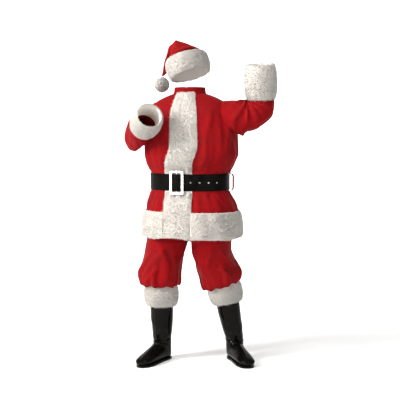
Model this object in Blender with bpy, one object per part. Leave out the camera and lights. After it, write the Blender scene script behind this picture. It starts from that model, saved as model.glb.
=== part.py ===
"""Santa suit: jacket with fur trim, belt, trousers, floppy hat and boots.

The suit is hollow and keeps the pose of a general standing figure. Metres, +Z up, the
front looks along -Y and +X is the wearer's left. The origin is the middle of the neck
seam, where the wearer's shoulders carry the jacket.
"""
from math import pi, radians

import bmesh
import bpy
import numpy as np

# Thicknesses and gaps
CLOTH = 0.0020
TROUSER_CLOTH = 0.0018
LEATHER = 0.0035
VINYL = 0.0022
SHEAR = 1.3           # a grid cell this much longer one way is split the other way
SEAM = 0.0003
LIE = 0.0004          # gap under a piece that lies on another
FUR = 0.016           # fur trim, backing to tips
FLAT_FUR = 0.0046     # the same fur pressed under the belt

# How the jacket stands
TURN = radians(-20)   # the chest is turned towards the wearer's right
FLOOR = -1.460

# Jacket: one row for each ring of the body, hem to collar
BODY_COLUMNS = ("height", "half_width", "front", "back", "square", "sway")
BODY_RINGS = (
    (-0.758, 0.270, 0.212, 0.205, 2.15, 0.016),
    (-0.680, 0.267, 0.204, 0.196, 2.15, 0.015),
    (-0.605, 0.258, 0.192, 0.182, 2.15, 0.012),
    (-0.550, 0.244, 0.176, 0.166, 2.20, 0.007),
    (-0.512, 0.228, 0.161, 0.153, 2.20, 0.002),
    (-0.492, 0.219, 0.160, 0.148, 2.20, 0.000),
    (-0.445, 0.218, 0.160, 0.148, 2.20, 0.000),
    (-0.398, 0.219, 0.160, 0.148, 2.20, 0.000),
    (-0.380, 0.231, 0.161, 0.153, 2.20, 0.001),
    (-0.345, 0.250, 0.178, 0.162, 2.20, 0.003),
    (-0.290, 0.266, 0.184, 0.162, 2.20, 0.008),
    (-0.200, 0.266, 0.175, 0.158, 2.20, 0.005),
    (-0.120, 0.250, 0.158, 0.148, 2.20, 0.000),
    (-0.050, 0.226, 0.136, 0.128, 2.20, 0.000),
    (-0.012, 0.192, 0.115, 0.112, 2.20, 0.000),
    (0.010, 0.152, 0.100, 0.098, 2.15, 0.000),
    (0.024, 0.118, 0.090, 0.088, 2.10, 0.000),
    (0.035, 0.090, 0.083, 0.080, 2.05, 0.000),
    (0.067, 0.085, 0.078, 0.076, 2.05, 0.000),
)
HEM = -0.746
RED_HEM = -0.630      # the red cloth ends behind the hem's fur
FUR_HEM_TOP = -0.605
NECK_SEAM = 0.035
COLLAR_TOP = 0.067
UNDERARM = -0.190
SHOULDER_TIP = -0.008
ARM_OPENING = radians(21)   # half the armhole's reach round the body
ARM_STEPS = 10              # rows of cloth beside one half of the armhole
FRONT_REACH = 0.975         # depth of the chest where the front band lies, of its middle

# Nominal radii that turn a width on the cloth into an angle
CHEST_RADIUS = 0.24
SIDE_RADIUS = 0.22
HEM_RADIUS = 0.20
LEG_RADIUS = 0.12

# Soft folds of the jacket: a row for each ridge
# Columns: angle, height, lean, width, length, depth
FOLDS = (
    (32, -0.760, 0, 8.0, 0.20, 0.010),
    (56, -0.760, -4, 8.5, 0.22, 0.012),
    (86, -0.760, -4, 9.0, 0.20, 0.010),
    (114, -0.760, 3, 10.0, 0.19, 0.009),
    (143, -0.760, 0, 10.0, 0.21, 0.012),
    (172, -0.760, 3, 10.0, 0.18, 0.009),
    (201, -0.760, -3, 10.0, 0.22, 0.012),
    (230, -0.760, 0, 10.0, 0.19, 0.009),
    (256, -0.760, 4, 9.0, 0.20, 0.010),
    (-74, -0.760, 0, 9.0, 0.20, 0.009),
    (-48, -0.760, 4, 8.0, 0.18, 0.008),
    (44, -0.330, 6, 9.0, 0.10, 0.006),
    (70, -0.300, -6, 9.0, 0.12, 0.007),
    (-60, -0.320, 6, 9.0, 0.11, 0.006),
    (128, -0.320, 5, 10.0, 0.11, 0.007),
    (160, -0.310, 0, 10.0, 0.12, 0.006),
    (204, -0.320, -3, 10.0, 0.12, 0.007),
    (236, -0.310, 5, 10.0, 0.12, 0.007),
)

# Fur band down the front, its middle measured across from the jacket's middle
# Columns: height, middle, half width
BAND_ROWS = (
    (-0.760, -0.018, 0.080),
    (-0.550, -0.016, 0.081),
    (-0.512, -0.010, 0.080),
    (-0.380, -0.010, 0.080),
    (-0.340, -0.004, 0.080),
    (-0.235, 0.024, 0.078),
    (-0.100, 0.020, 0.076),
    (0.000, 0.012, 0.060),
    (0.067, 0.008, 0.050),
)
UNDER_RIGHT = 0.69    # where the right front ends under the band, of its half width
UNDER_LEFT = 0.36     # where the left front starts under it

# Belt
BELT_HEIGHT = -0.445
BELT_WIDTH = 0.091
BUCKLE_ACROSS = -0.011
BUCKLE_SIZE = (0.080, 0.129)
BUCKLE_SIDE_BAR = 0.0135
BUCKLE_END_BAR = 0.0125
BUCKLE_THICK = 0.0055
BUCKLE_ROD = 0.0017
LOOP_REACH = 0.062    # from the belt's middle to the end of a belt loop
LOOP_HALF = 0.008     # half a loop's width
LOOP_THICK = 0.0032
LOOP_STANDS = {"left": 0.030, "right": 0.0065}   # how far a loop stands off
EYELETS = 4
EYELET_FIRST = 0.078  # along the strap from the middle of the buckle
EYELET_PITCH = 0.048
EYELET_RING = (0.0034, 0.0016)
EYELET_SIDES = (10, 4)

# Sleeves: points under, before, over and behind the arm, from the armhole to the cuff
# Columns: under, front, top, back
SLEEVE_GUIDES = {
    "left": (
        ((0.281, -0.093, -0.187), (0.222, -0.158, -0.089),
         (0.228, -0.070, -0.006), (0.263, 0.002, -0.093)),
        ((0.312, -0.093, -0.173), (0.286, -0.165, -0.087),
         (0.287, -0.079, -0.012), (0.312, -0.007, -0.098)),
        ((0.366, -0.100, -0.156), (0.317, -0.168, -0.081),
         (0.303, -0.080, -0.014), (0.350, -0.013, -0.089)),
        ((0.423, -0.114, -0.107), (0.343, -0.173, -0.060),
         (0.308, -0.082, -0.011), (0.387, -0.024, -0.058)),
        ((0.448, -0.127, -0.040), (0.357, -0.174, -0.032),
         (0.314, -0.085, -0.006), (0.403, -0.038, -0.016)),
    ),
    "right": (
        ((-0.268, 0.075, -0.216), (-0.236, -0.013, -0.098),
         (-0.206, 0.058, -0.022), (-0.225, 0.152, -0.118)),
        ((-0.286, 0.050, -0.240), (-0.242, -0.020, -0.106),
         (-0.240, 0.044, -0.042), (-0.290, 0.124, -0.155)),
        ((-0.292, 0.014, -0.258), (-0.243, -0.028, -0.114),
         (-0.268, 0.024, -0.062), (-0.332, 0.074, -0.185)),
        ((-0.290, -0.026, -0.266), (-0.236, -0.040, -0.122),
         (-0.286, 0.000, -0.078), (-0.350, 0.018, -0.200)),
        ((-0.276, -0.068, -0.256), (-0.222, -0.058, -0.133),
         (-0.290, -0.030, -0.090), (-0.343, -0.036, -0.200)),
        ((-0.256, -0.124, -0.236), (-0.205, -0.082, -0.146),
         (-0.276, -0.070, -0.090), (-0.327, -0.112, -0.178)),
    ),
}
CUFFS = {
    "left": {"start": (0.382, -0.1093, 0.000), "mouth": (0.374, -0.138, 0.186),
             "front": (-0.328, -0.931, -0.158), "radius": 0.069},
    "right": {"start": (-0.249, -0.133, -0.152), "mouth": (-0.206, -0.262, -0.088),
              "front": (0.945, 0.326, 0.0), "radius": 0.062},
}
PROUD = 0.0006        # a sleeve's seam over the panels' face
CUFF_OVERLAP = 0.026
SLEEVE_AROUND = 2 * ARM_STEPS
SLEEVE_ROWS = 13

# Trousers: a row for each ring of a leg
# Columns: height, across, along, half width, half depth, tilt
LEG_RINGS = {
    "right": (
        (-0.775, -0.125, 0.026, 0.117, 0.138, 0),
        (-0.830, -0.139, 0.026, 0.113, 0.128, 0),
        (-0.875, -0.150, 0.025, 0.110, 0.118, 0),
        (-0.925, -0.160, 0.022, 0.109, 0.112, 0),
        (-0.968, -0.168, 0.022, 0.112, 0.112, 0),
        (-0.997, -0.166, 0.025, 0.107, 0.107, 0),
        (-1.012, -0.164, 0.027, 0.093, 0.093, 0),
        (-1.0190, -0.1630, 0.0280, 0.0782, 0.0782, 0),
        (-1.0460, -0.1624, 0.0303, 0.0780, 0.0780, 0),
    ),
    "left": (
        (-0.775, 0.118, -0.022, 0.111, 0.138, 0),
        (-0.830, 0.122, -0.012, 0.108, 0.130, 3),
        (-0.875, 0.132, 0.000, 0.106, 0.118, 6),
        (-0.925, 0.150, 0.010, 0.110, 0.112, 10),
        (-0.962, 0.170, 0.016, 0.112, 0.112, 14),
        (-0.989, 0.178, 0.023, 0.107, 0.107, 16),
        (-1.003, 0.182, 0.026, 0.093, 0.093, 17),
        (-1.0108, 0.1837, 0.0278, 0.0782, 0.0782, 17),
        (-1.0364, 0.1897, 0.0314, 0.0780, 0.0780, 17),
    ),
}
HIP_RINGS = (
    (-0.461, 0.210, 0.151, 0.140),
    (-0.560, 0.205, 0.146, 0.145),
    (-0.660, 0.226, 0.160, 0.165),
    (-0.775, 0.250, 0.165, 0.175),
)
WAIST_TOP = -0.428
WAIST_BOTTOM = -0.4605
CROTCH = -0.775
CROTCH_RISE = 0.110
LEG_AROUND = 22
LEG_ROWS = {
    "right": (0.776, 0.820, 0.862, 0.905, 0.945, 0.975, 0.997, 1.012, 1.0190, 1.0460),
    "left": (0.776, 0.820, 0.862, 0.905, 0.940, 0.968, 0.989, 1.003, 1.0108, 1.0364),
}
GATHERS = ((6, 0.0028, 0.4), (9, 0.0018, 1.9))   # waves round the leg, height, phase

# Folds of the legs: a row for each ridge
# Columns: part, height, lean, width, length, depth
LEG_FOLDS = {
    "right": (
        (0.34, -0.90, -0.9, 0.035, 0.09, 0.010), (0.20, -0.93, 0.7, 0.040, 0.08, 0.008),
        (0.62, -0.92, -0.6, 0.045, 0.10, 0.008), (0.82, -0.90, 0.6, 0.045, 0.09, 0.008),
    ),
    "left": (
        (0.30, -0.93, 0.8, 0.035, 0.08, 0.010), (0.15, -0.90, -0.6, 0.040, 0.09, 0.008),
        (0.60, -0.92, 0.6, 0.045, 0.10, 0.008), (0.80, -0.90, -0.6, 0.045, 0.09, 0.008),
    ),
}

# Trouser cuffs: rows of the fur ring, from its top, for both legs
# Columns: down, inner, outer
LEG_CUFF_ROWS = (
    (0.000, 0.0786, 0.0860),
    (0.012, 0.0786, 0.0960),
    (0.045, 0.0786, 0.1000),
    (0.082, 0.0750, 0.0985),
    (0.112, 0.0682, 0.0900),
    (0.124, 0.0664, 0.0760),
)
LEG_CUFFS = {
    "right": {"top": (-0.163, 0.028, -1.020), "tilt": 0.0, "foot_tilt": 0.0,
              "foot": (-0.1602, 0.0390, -1.144)},
    "left": {"top": (0.184, 0.028, -1.012), "tilt": 17.0, "foot_tilt": 10.7,
             "foot": (0.2109, 0.0441, -1.128)},
}

# Boots: a row for each ring, as its upper and lower point beside the ankle
# Columns: top forward, top height, low forward, low height, half width
BOOT_RINGS = (
    (0.0500, 0.118, -0.0540, 0.108, 0.0500),
    (0.0570, 0.108, -0.0600, 0.060, 0.0460),
    (0.0760, 0.100, -0.0670, 0.0180, 0.0420),
    (0.1000, 0.090, -0.0560, 0.0115, 0.0430),
    (0.1280, 0.077, 0.0400, 0.0115, 0.0450),
    (0.1650, 0.060, 0.1250, 0.0115, 0.0470),
    (0.1950, 0.045, 0.1780, 0.0120, 0.0420),
    (0.2110, 0.031, 0.2040, 0.0140, 0.0270),
)
# Columns: part, half width, half depth
SHAFT_RINGS = (
    (0.00, 0.0650, 0.0650),
    (0.30, 0.0640, 0.0650),
    (0.62, 0.0580, 0.0620),
    (0.86, 0.0525, 0.0560),
)
BOOTS = {
    "right": {"ankle": (-0.160, 0.055), "heading": radians(-33),
              "shaft_top": (-0.1632, 0.030, -1.085), "tilt": 0.0},
    "left": {"ankle": (0.252, 0.062), "heading": radians(20),
             "shaft_top": (0.2030, 0.036, -1.080), "tilt": 13.0},
}
BOOT_AROUND = 14
SOLE = 0.0116
# Columns: forward, half width
SOLE_OUTLINE = (
    (-0.068, 0.008), (-0.060, 0.026), (-0.030, 0.036), (0.030, 0.035), (0.090, 0.043),
    (0.140, 0.048), (0.185, 0.041), (0.208, 0.024), (0.215, 0.008),
)

# Hat: its band tips up at the wearer's left and at the front
HAT_MIDDLE = (-0.010, -0.015, 0.182)
HAT_ROLL = radians(-15)
HAT_PITCH = radians(-12)
HAT_HALF = (0.099, 0.112)
HAT_FUR = 0.021
HAT_BAND_HALF_HEIGHT = 0.050
HAT_OVERLAP = 0.025
# Columns: outer x, outer z, inner x, inner z, half depth, back, front rise
HAT_RINGS = (
    (0.0520, 0.2680, -0.1175, 0.2130, 0.1050, -0.012, 0.024),
    (0.0120, 0.2870, -0.1145, 0.2220, 0.0960, -0.006, 0.022),
    (-0.0300, 0.3040, -0.1115, 0.2300, 0.0840, 0.002, 0.018),
    (-0.0700, 0.3150, -0.1090, 0.2370, 0.0690, 0.012, 0.012),
    (-0.1000, 0.2970, -0.1080, 0.2420, 0.0540, 0.024, 0.006),
    (-0.1227, 0.2585, -0.1115, 0.2400, 0.0400, 0.038, 0.0),
    (-0.1400, 0.2190, -0.1180, 0.2160, 0.0300, 0.052, 0.0),
    (-0.1475, 0.1860, -0.1230, 0.1830, 0.0220, 0.062, 0.0),
    (-0.1530, 0.1500, -0.1285, 0.1490, 0.0165, 0.062, 0.0),
    (-0.1590, 0.1310, -0.1470, 0.1310, 0.0095, 0.054, 0.0),
)
POMPOM_MIDDLE = (-0.1555, 0.0520, 0.0866)
POMPOM_RADIUS = 0.0440
HAT_AROUND = 18

# Finishes: base colour, roughness, metallic
FINISHES = {
    "red_plush": ((0.45, 0.012, 0.018, 1), 0.85, 0.0),
    "white_fur": ((0.86, 0.84, 0.81, 1), 0.95, 0.0),
    "belt_leather": ((0.025, 0.021, 0.018, 1), 0.42, 0.0),
    "buckle_metal": ((0.80, 0.79, 0.76, 1), 0.25, 1.0),
    "boot_vinyl": ((0.012, 0.011, 0.010, 1), 0.22, 0.0),
}


def smooth_through(knots, values, at):
    """Cubic curve through (knots, values) that keeps between them, read at each entry of at."""
    knots = np.asarray(knots, float)
    values = np.asarray(values, float)
    step = np.diff(knots)
    rise = np.diff(values) / step
    slope = np.zeros_like(values)
    product = rise[:-1] * rise[1:]
    total = rise[:-1] + rise[1:]
    slope[1:-1] = np.where(product > 0, 2 * product / np.where(product > 0, total, 1), 0)
    slope[0] = rise[0]
    slope[-1] = rise[-1]
    at = np.clip(at, knots[0], knots[-1])
    i = np.clip(np.searchsorted(knots, at, side="right") - 1, 0, len(step) - 1)
    u = (at - knots[i]) / step[i]
    start = (1 + 2 * u) * (1 - u) ** 2 * values[i] + u * (1 - u) ** 2 * step[i] * slope[i]
    end = u ** 2 * (3 - 2 * u) * values[i + 1] + u ** 2 * (u - 1) * step[i] * slope[i + 1]
    return start + end


def ease(value, low, high):
    """Smooth step from 0 at low to 1 at high; low may be the larger."""
    u = np.clip((value - low) / (high - low), 0, 1)
    return u * u * (3 - 2 * u)


def unit(vectors):
    return vectors / np.linalg.norm(vectors, axis=-1, keepdims=True)


def turned(points, angle):
    """Points turned about the vertical through the origin."""
    c, s = np.cos(angle), np.sin(angle)
    x, y, z = points[..., 0], points[..., 1], points[..., 2]
    return np.stack([c * x - s * y, s * x + c * y, z], -1)


# Jacket's surface

BODY = np.array(BODY_RINGS)
BODY_ALONG = np.concatenate([[0], np.cumsum(np.hypot(np.diff(BODY[:, 0]), np.diff(BODY[:, 1])))])


def along_at(height):
    """Distance up the jacket's side where it reaches a height."""
    fine = np.linspace(0, BODY_ALONG[-1], 2000)
    return np.interp(height, smooth_through(BODY_ALONG, BODY[:, 0], fine), fine)


def body_sizes(along):
    return [smooth_through(BODY_ALONG, BODY[:, k], along) for k in range(len(BODY_COLUMNS))]


def fold_height(angle, height):
    """How far the soft folds lift the cloth; the belt presses them flat."""
    total = np.zeros(np.broadcast(angle, height).shape)
    for middle, level, lean, width, length, depth in FOLDS:
        off = angle - radians(middle) - radians(lean) * (height - level) / 0.1
        off = (off + pi) % (2 * pi) - pi
        off = off / radians(width)
        ridge = np.exp(-off ** 2) - 0.35 * np.exp(-(off / 2.2) ** 2)
        total = total + depth * ridge * np.exp(-((height - level) / length) ** 2)
    pressed = ease(np.abs(height - BELT_HEIGHT), 0.049, 0.095)
    return total * pressed * (1 - ease(height, -0.16, -0.06))


def body_point(angle, along):
    """Ring of a superellipse at each distance up the side, lifted by the folds."""
    height, half_width, front, back, square, sway = body_sizes(along)
    s, c = np.sin(angle), np.cos(angle)
    depth = np.where(c > 0, front, back)
    radius = ((np.abs(s) / half_width) ** square + (np.abs(c) / depth) ** square) ** (-1 / square)
    radius = radius + fold_height(angle, height)
    return turned(np.stack([radius * s + sway, -radius * c, height], -1), TURN)


def jacket(angle, along, out=0.0):
    """Points of the jacket's outer face, moved out square to it."""
    angle, along, out = np.broadcast_arrays(np.asarray(angle, float), along, out)
    small = 1e-4
    across = body_point(angle + small, along) - body_point(angle - small, along)
    up = body_point(angle, along + small) - body_point(angle, along - small)
    normal = unit(np.cross(across, up))
    return body_point(angle, along) + normal * out[..., None]


# Columns of the jacket, shared by all that lies on it

ARM_LOW = along_at(UNDERARM)
ARM_HIGH = along_at(SHOULDER_TIP)
ARM_MIDDLE = (ARM_LOW + ARM_HIGH) / 2
ARM_HALF = (ARM_HIGH - ARM_LOW) / 2
BAND = np.array(BAND_ROWS)
BAND_STEPS = (-1.0, -UNDER_RIGHT, 0.0, UNDER_LEFT, 0.69, 1.0)
SIDE_STEPS = (0.14, 0.32, 0.50, 0.68, 0.85, 1.0)
BACK_STEPS = np.linspace(0, 1, 15)


def angle_across(along, across):
    """Angle whose ray passes a distance across from the jacket's middle, at the front."""
    front = body_sizes(along)[2]
    return np.arctan2(across, front * FRONT_REACH)


def band_angle(along, part):
    """Angle at a part of the front band's half width, -1 to 1."""
    height = body_sizes(along)[0]
    middle = smooth_through(BAND[:, 0], BAND[:, 1], height)
    half = smooth_through(BAND[:, 0], BAND[:, 2], height)
    return angle_across(along, middle + part * half)


def seam_angle(along):
    """Half the seam's gap as an angle at the jacket's side."""
    return SEAM / 2 / body_sizes(along)[1]


def armhole(along):
    """Half the armhole's width as an angle, 0 above and below it."""
    return ARM_OPENING * np.sqrt(np.clip(1 - ((along - ARM_MIDDLE) / ARM_HALF) ** 2, 0, 1))


def front_columns(along, side):
    """Angles of a front panel's columns, from the opening to the side seam."""
    edge = side * (pi / 2 - armhole(along) - seam_angle(along))
    parts = (UNDER_LEFT, 0.69, 1.0) if side > 0 else (-UNDER_RIGHT, -1.0)
    inner = [band_angle(along, part) for part in parts]
    outer = [inner[-1] + step * (edge - inner[-1]) for step in SIDE_STEPS]
    columns = np.stack(inner + outer, -1)
    return columns if side > 0 else columns[:, ::-1]


def back_columns(along):
    start = pi / 2 + armhole(along) + seam_angle(along)
    end = 3 * pi / 2 - armhole(along) - seam_angle(along)
    return start[:, None] + BACK_STEPS * (end - start)[:, None]


def around_columns(along):
    """Angles all round outside the front band, its left edge to its right edge."""
    left = band_angle(along, 1.0)
    right = band_angle(along, -1.0)
    left_side = left[:, None] + np.array((0.0,) + SIDE_STEPS) * (pi / 2 - left)[:, None]
    right_side = right[:, None] + np.array((0.0,) + SIDE_STEPS) * (-pi / 2 - right)[:, None]
    back = np.repeat((pi / 2 + BACK_STEPS[1:-1] * pi)[None], len(along), 0)
    return np.concatenate([left_side, back, right_side[:, ::-1] + 2 * pi], 1)


def jacket_rows():
    """Rows of the panels: hem, belt, armhole and shoulder, in that order."""
    heights = (RED_HEM, FUR_HEM_TOP, -0.570, -0.535, BELT_HEIGHT - LOOP_REACH,
               BELT_HEIGHT - BELT_WIDTH / 2, BELT_HEIGHT + BELT_WIDTH / 2,
               BELT_HEIGHT + LOOP_REACH, -0.350, -0.310, -0.268, -0.228)
    below = along_at(np.array(heights))
    beside = ARM_MIDDLE - ARM_HALF * np.cos(np.linspace(0, pi, ARM_STEPS + 1))
    above = np.linspace(ARM_HIGH, along_at(NECK_SEAM), 4)[1:]
    return np.concatenate([below, beside, above])


# Meshes

def make_materials():
    for name, (colour, rough, metallic) in FINISHES.items():
        material = bpy.data.materials.new(name)
        material.use_nodes = True
        material.diffuse_color = colour
        shader = material.node_tree.nodes["Principled BSDF"]
        shader.inputs["Base Color"].default_value = colour
        shader.inputs["Roughness"].default_value = rough
        shader.inputs["Metallic"].default_value = metallic


def add_mesh(name, points, faces, finish, smooth_below=50):
    """Closed object from points and faces, with its faces turned outwards."""
    mesh = bpy.data.meshes.new(name)
    mesh.from_pydata([tuple(point) for point in points], [], faces)
    body = bmesh.new()
    body.from_mesh(mesh)
    bmesh.ops.recalc_face_normals(body, faces=body.faces)
    body.to_mesh(mesh)
    body.free()
    mesh.materials.append(bpy.data.materials[finish])
    mesh.shade_smooth()
    mesh.set_sharp_from_angle(angle=radians(smooth_below))
    item = bpy.data.objects.new(name, mesh)
    bpy.data.collections["santa_suit"].objects.link(item)
    return item


def move_to(item, collection):
    for holder in list(item.users_collection):
        holder.objects.unlink(item)
    bpy.data.collections[collection].objects.link(item)


def grid_faces(grid, points=None):
    """Triangles between neighbouring entries of a grid of point numbers.

    The diagonal runs the same way everywhere, so a piece that lies on another keeps
    its gap over twisted cells too. Given points, a badly sheared cell takes its short one.
    """
    a, b, c, d = grid[:-1, :-1], grid[:-1, 1:], grid[1:, 1:], grid[1:, :-1]
    sheared = np.zeros(a.shape, bool)
    if points is not None:
        first = np.linalg.norm(points[a] - points[c], axis=-1)
        sheared = first > SHEAR * np.linalg.norm(points[b] - points[d], axis=-1)
    plain = ~sheared
    faces = [np.stack((a, b, c), -1)[plain], np.stack((a, c, d), -1)[plain],
             np.stack((a, b, d), -1)[sheared], np.stack((b, c, d), -1)[sheared]]
    return np.concatenate(faces).tolist()


def add_wall(name, outer, inner, finish, around=False, tip=False, loose=False):
    """Wall between two matching grids of points, with rims along its free edges.

    around joins the last column to the first; tip closes the last row over a point;
    loose splits sheared cells the short way, for a piece that nothing lies on.
    """
    rows, columns = outer.shape[:2]
    count = rows * columns
    points = np.concatenate([outer.reshape(-1, 3), inner.reshape(-1, 3)])
    number = np.arange(count).reshape(rows, columns)
    if around:
        number = np.hstack([number, number[:, :1]])
    outer_faces = grid_faces(number, points if loose else None)
    faces = outer_faces + [[k + count for k in face[::-1]] for face in outer_faces]
    edges = [number[0]] if tip else [number[0], number[-1]]
    if not around:
        edges += [number[:, 0], number[:, -1]]
    for edge in edges:
        faces += grid_faces(np.stack([edge, edge + count]))
    if tip:
        poles = np.stack([outer[-1].mean(0), inner[-1].mean(0)])
        points = np.concatenate([points, poles])
        for a, b in zip(number[-1][:-1].tolist(), number[-1][1:].tolist()):
            faces += [(a, b, 2 * count), (b + count, a + count, 2 * count + 1)]
    return add_mesh(name, points, faces, finish)


def add_ring(name, sections, finish):
    """Closed sections carried round a closed path: grid[path, section]."""
    number = np.arange(sections.shape[0] * sections.shape[1]).reshape(sections.shape[:2])
    number = np.hstack([number, number[:, :1]])
    number = np.vstack([number, number[:1]])
    return add_mesh(name, sections.reshape(-1, 3), grid_faces(number), finish)


# Jacket

def make_jacket_panels(rows):
    for side, name in ((1, "jacket_front_left"), (-1, "jacket_front_right")):
        angles = front_columns(rows, side)
        outer, inner = jacket(angles, rows[:, None]), jacket(angles, rows[:, None], -CLOTH)
        add_wall(name, outer, inner, "red_plush")
    angles = back_columns(rows)
    add_wall("jacket_back", jacket(angles, rows[:, None]), jacket(angles, rows[:, None], -CLOTH),
             "red_plush", loose=True)


def make_neckband():
    """Low plain stand on the neck seam, its ends meeting under the fur band's middle."""
    rows = along_at(np.array((NECK_SEAM, COLLAR_TOP))) + np.array((SEAM, 0))
    parts = (-1.0, -UNDER_RIGHT, -0.02)
    right = [band_angle(rows, part) + 2 * pi for part in parts]
    left = [band_angle(rows, part) for part in (0.02, UNDER_LEFT, 0.69)]
    angles = np.concatenate([np.stack(left, -1), around_columns(rows), np.stack(right[1:], -1)], 1)
    add_wall("jacket_neckband", jacket(angles, rows[:, None]), jacket(angles, rows[:, None], -CLOTH),
             "red_plush")


def pile(height, full):
    """Depth of fur over the jacket at a height; the belt presses it."""
    free = ease(np.abs(height - BELT_HEIGHT), BELT_WIDTH / 2 + 0.002, BUCKLE_SIZE[1] / 2 + 0.035)
    return FLAT_FUR + (full - FLAT_FUR) * free


def make_front_band(rows):
    """Fur band from the hem to the neck, made on the fronts' own points."""
    low = along_at(HEM + np.array((0, 0.020, 0.068)))
    rows = np.concatenate([low, rows])
    angles = np.stack([band_angle(rows, part) for part in BAND_STEPS], -1)
    height = body_sizes(rows)[0][:, None]
    swell = np.array((0.30, 0.92, 1.0, 1.0, 0.92, 0.30))
    ends = np.ones(len(rows))
    ends[0] = 0.45
    ends[-1] = 0.45
    outer = LIE + pile(height, FUR - 0.002) * swell * ends[:, None]
    add_wall("fur_front_band", jacket(angles, rows[:, None], outer),
             jacket(angles, rows[:, None], LIE), "white_fur")


def make_hem_band():
    """Fur round the hem, from one edge of the front band to its other edge."""
    heights = np.array((HEM, HEM + 0.013, HEM + 0.060, RED_HEM, FUR_HEM_TOP))
    depth = np.array((0.45, 0.88, 1.0, 0.92, 0.30)) * FUR
    rows = along_at(heights)
    angles = around_columns(rows)
    room = SEAM / HEM_RADIUS
    angles[:, 0] += room
    angles[:, -1] -= room
    add_wall("fur_hem_band", jacket(angles, rows[:, None], LIE + depth[:, None]),
             jacket(angles, rows[:, None], LIE), "white_fur")


# Sleeves

def arm_loop(side):
    """Angles and distances of the armhole's edge, from the underarm round by the front."""
    turn = np.linspace(0, 2 * pi, SLEEVE_AROUND, endpoint=False)
    reach = ARM_OPENING - SEAM / CHEST_RADIUS
    along = ARM_MIDDLE - (ARM_HALF - SEAM) * np.cos(turn)
    return side * (pi / 2 - reach * np.sin(turn)), along


def cuff_axes(side_name):
    """The cuff's directions: along it, and under and before the arm."""
    place = CUFFS[side_name]
    side = 1 if side_name == "left" else -1
    ahead = unit(np.array(place["mouth"]) - np.array(place["start"]))
    front = np.array(place["front"])
    front = unit(front - ahead * ahead.dot(front))
    return ahead, side * np.cross(ahead, front), front


def sleeve_guides(side_name, loop):
    """Guide points of each ring, from the armhole's edge to the end under the cuff."""
    quarter = len(loop) // 4
    rings = [loop[::quarter]] + [np.array(row) for row in SLEEVE_GUIDES[side_name]]
    ahead, under, front = cuff_axes(side_name)
    start, radius = np.array(CUFFS[side_name]["start"]), CUFFS[side_name]["radius"]
    for down in (0, CUFF_OVERLAP):
        middle = start + down * ahead
        rings.append(middle + radius * np.stack([under, front, -under, -front]))
    return np.stack(rings)


def read_guides(guides, at):
    """Smooth curve through the rings' guide points, read at ring numbers."""
    slope = np.gradient(guides, axis=0)
    k = np.clip(np.floor(at).astype(int), 0, len(guides) - 2)
    u = (at - k)[:, None, None]
    start = (1 + 2 * u) * (1 - u) ** 2 * guides[k] + u * (1 - u) ** 2 * slope[k]
    return start + u ** 2 * (3 - 2 * u) * guides[k + 1] + u ** 2 * (u - 1) * slope[k + 1]


def guided_rings(guides, turn):
    """Closed curve through each ring's four guide points."""
    under, front, top, back = [guides[:, k, None] for k in range(4)]
    c, s = np.cos(turn)[None, :, None], np.sin(turn)[None, :, None]
    middle = (under + top) / 2 * c ** 2 + (front + back) / 2 * s ** 2
    return middle + (under - top) / 2 * c + (front - back) / 2 * s


def inward_of(rings):
    """Directions square to a tube's face, into the tube."""
    across = np.roll(rings, -1, 1) - np.roll(rings, 1, 1)
    normal = unit(np.cross(across, np.gradient(rings, axis=0)))
    middle = rings.mean(1, keepdims=True)
    return normal * np.sign(np.median((normal * (middle - rings)).sum(-1)))


def make_sleeve(side_name):
    """Tube from the armhole's edge to under the cuff, its seam a little proud."""
    side = 1 if side_name == "left" else -1
    angle, along = arm_loop(side)
    loop = jacket(angle, along, PROUD)
    guides = sleeve_guides(side_name, loop)
    last = len(guides) - 1
    at = np.concatenate([np.linspace(0, last - 1, SLEEVE_ROWS - 1), [last]])
    turn = np.linspace(0, 2 * pi, SLEEVE_AROUND, endpoint=False)
    outer = guided_rings(read_guides(guides, at), turn)
    off = loop - outer[0]
    outer = outer + off * (1 - ease(at, 0, 1.2))[:, None, None]
    add_wall("jacket_sleeve_" + side_name, outer, outer + CLOTH * inward_of(outer), "red_plush",
             around=True, loose=True)


def make_cuff(side_name):
    """Fur ring over the sleeve's end: a rounded section carried round."""
    place = CUFFS[side_name]
    ahead, under, front = cuff_axes(side_name)
    start = np.array(place["start"])
    long = np.linalg.norm(np.array(place["mouth"]) - start)
    section = np.array((
        (0.000, LIE), (CUFF_OVERLAP, LIE), (long - 0.006, LIE), (long, 0.007),
        (long - 0.016, 0.0155), (0.5 * long, 0.0175), (0.014, 0.015), (0.000, 0.007),
    ))
    turn = np.linspace(0, 2 * pi, SLEEVE_AROUND, endpoint=False)[:, None]
    spoke = np.cos(turn) * under + np.sin(turn) * front
    rings = [start + down * ahead + (place["radius"] + out) * spoke for down, out in section]
    add_ring("fur_cuff_" + side_name, np.stack(rings, 1), "white_fur")


# Belt

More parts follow.
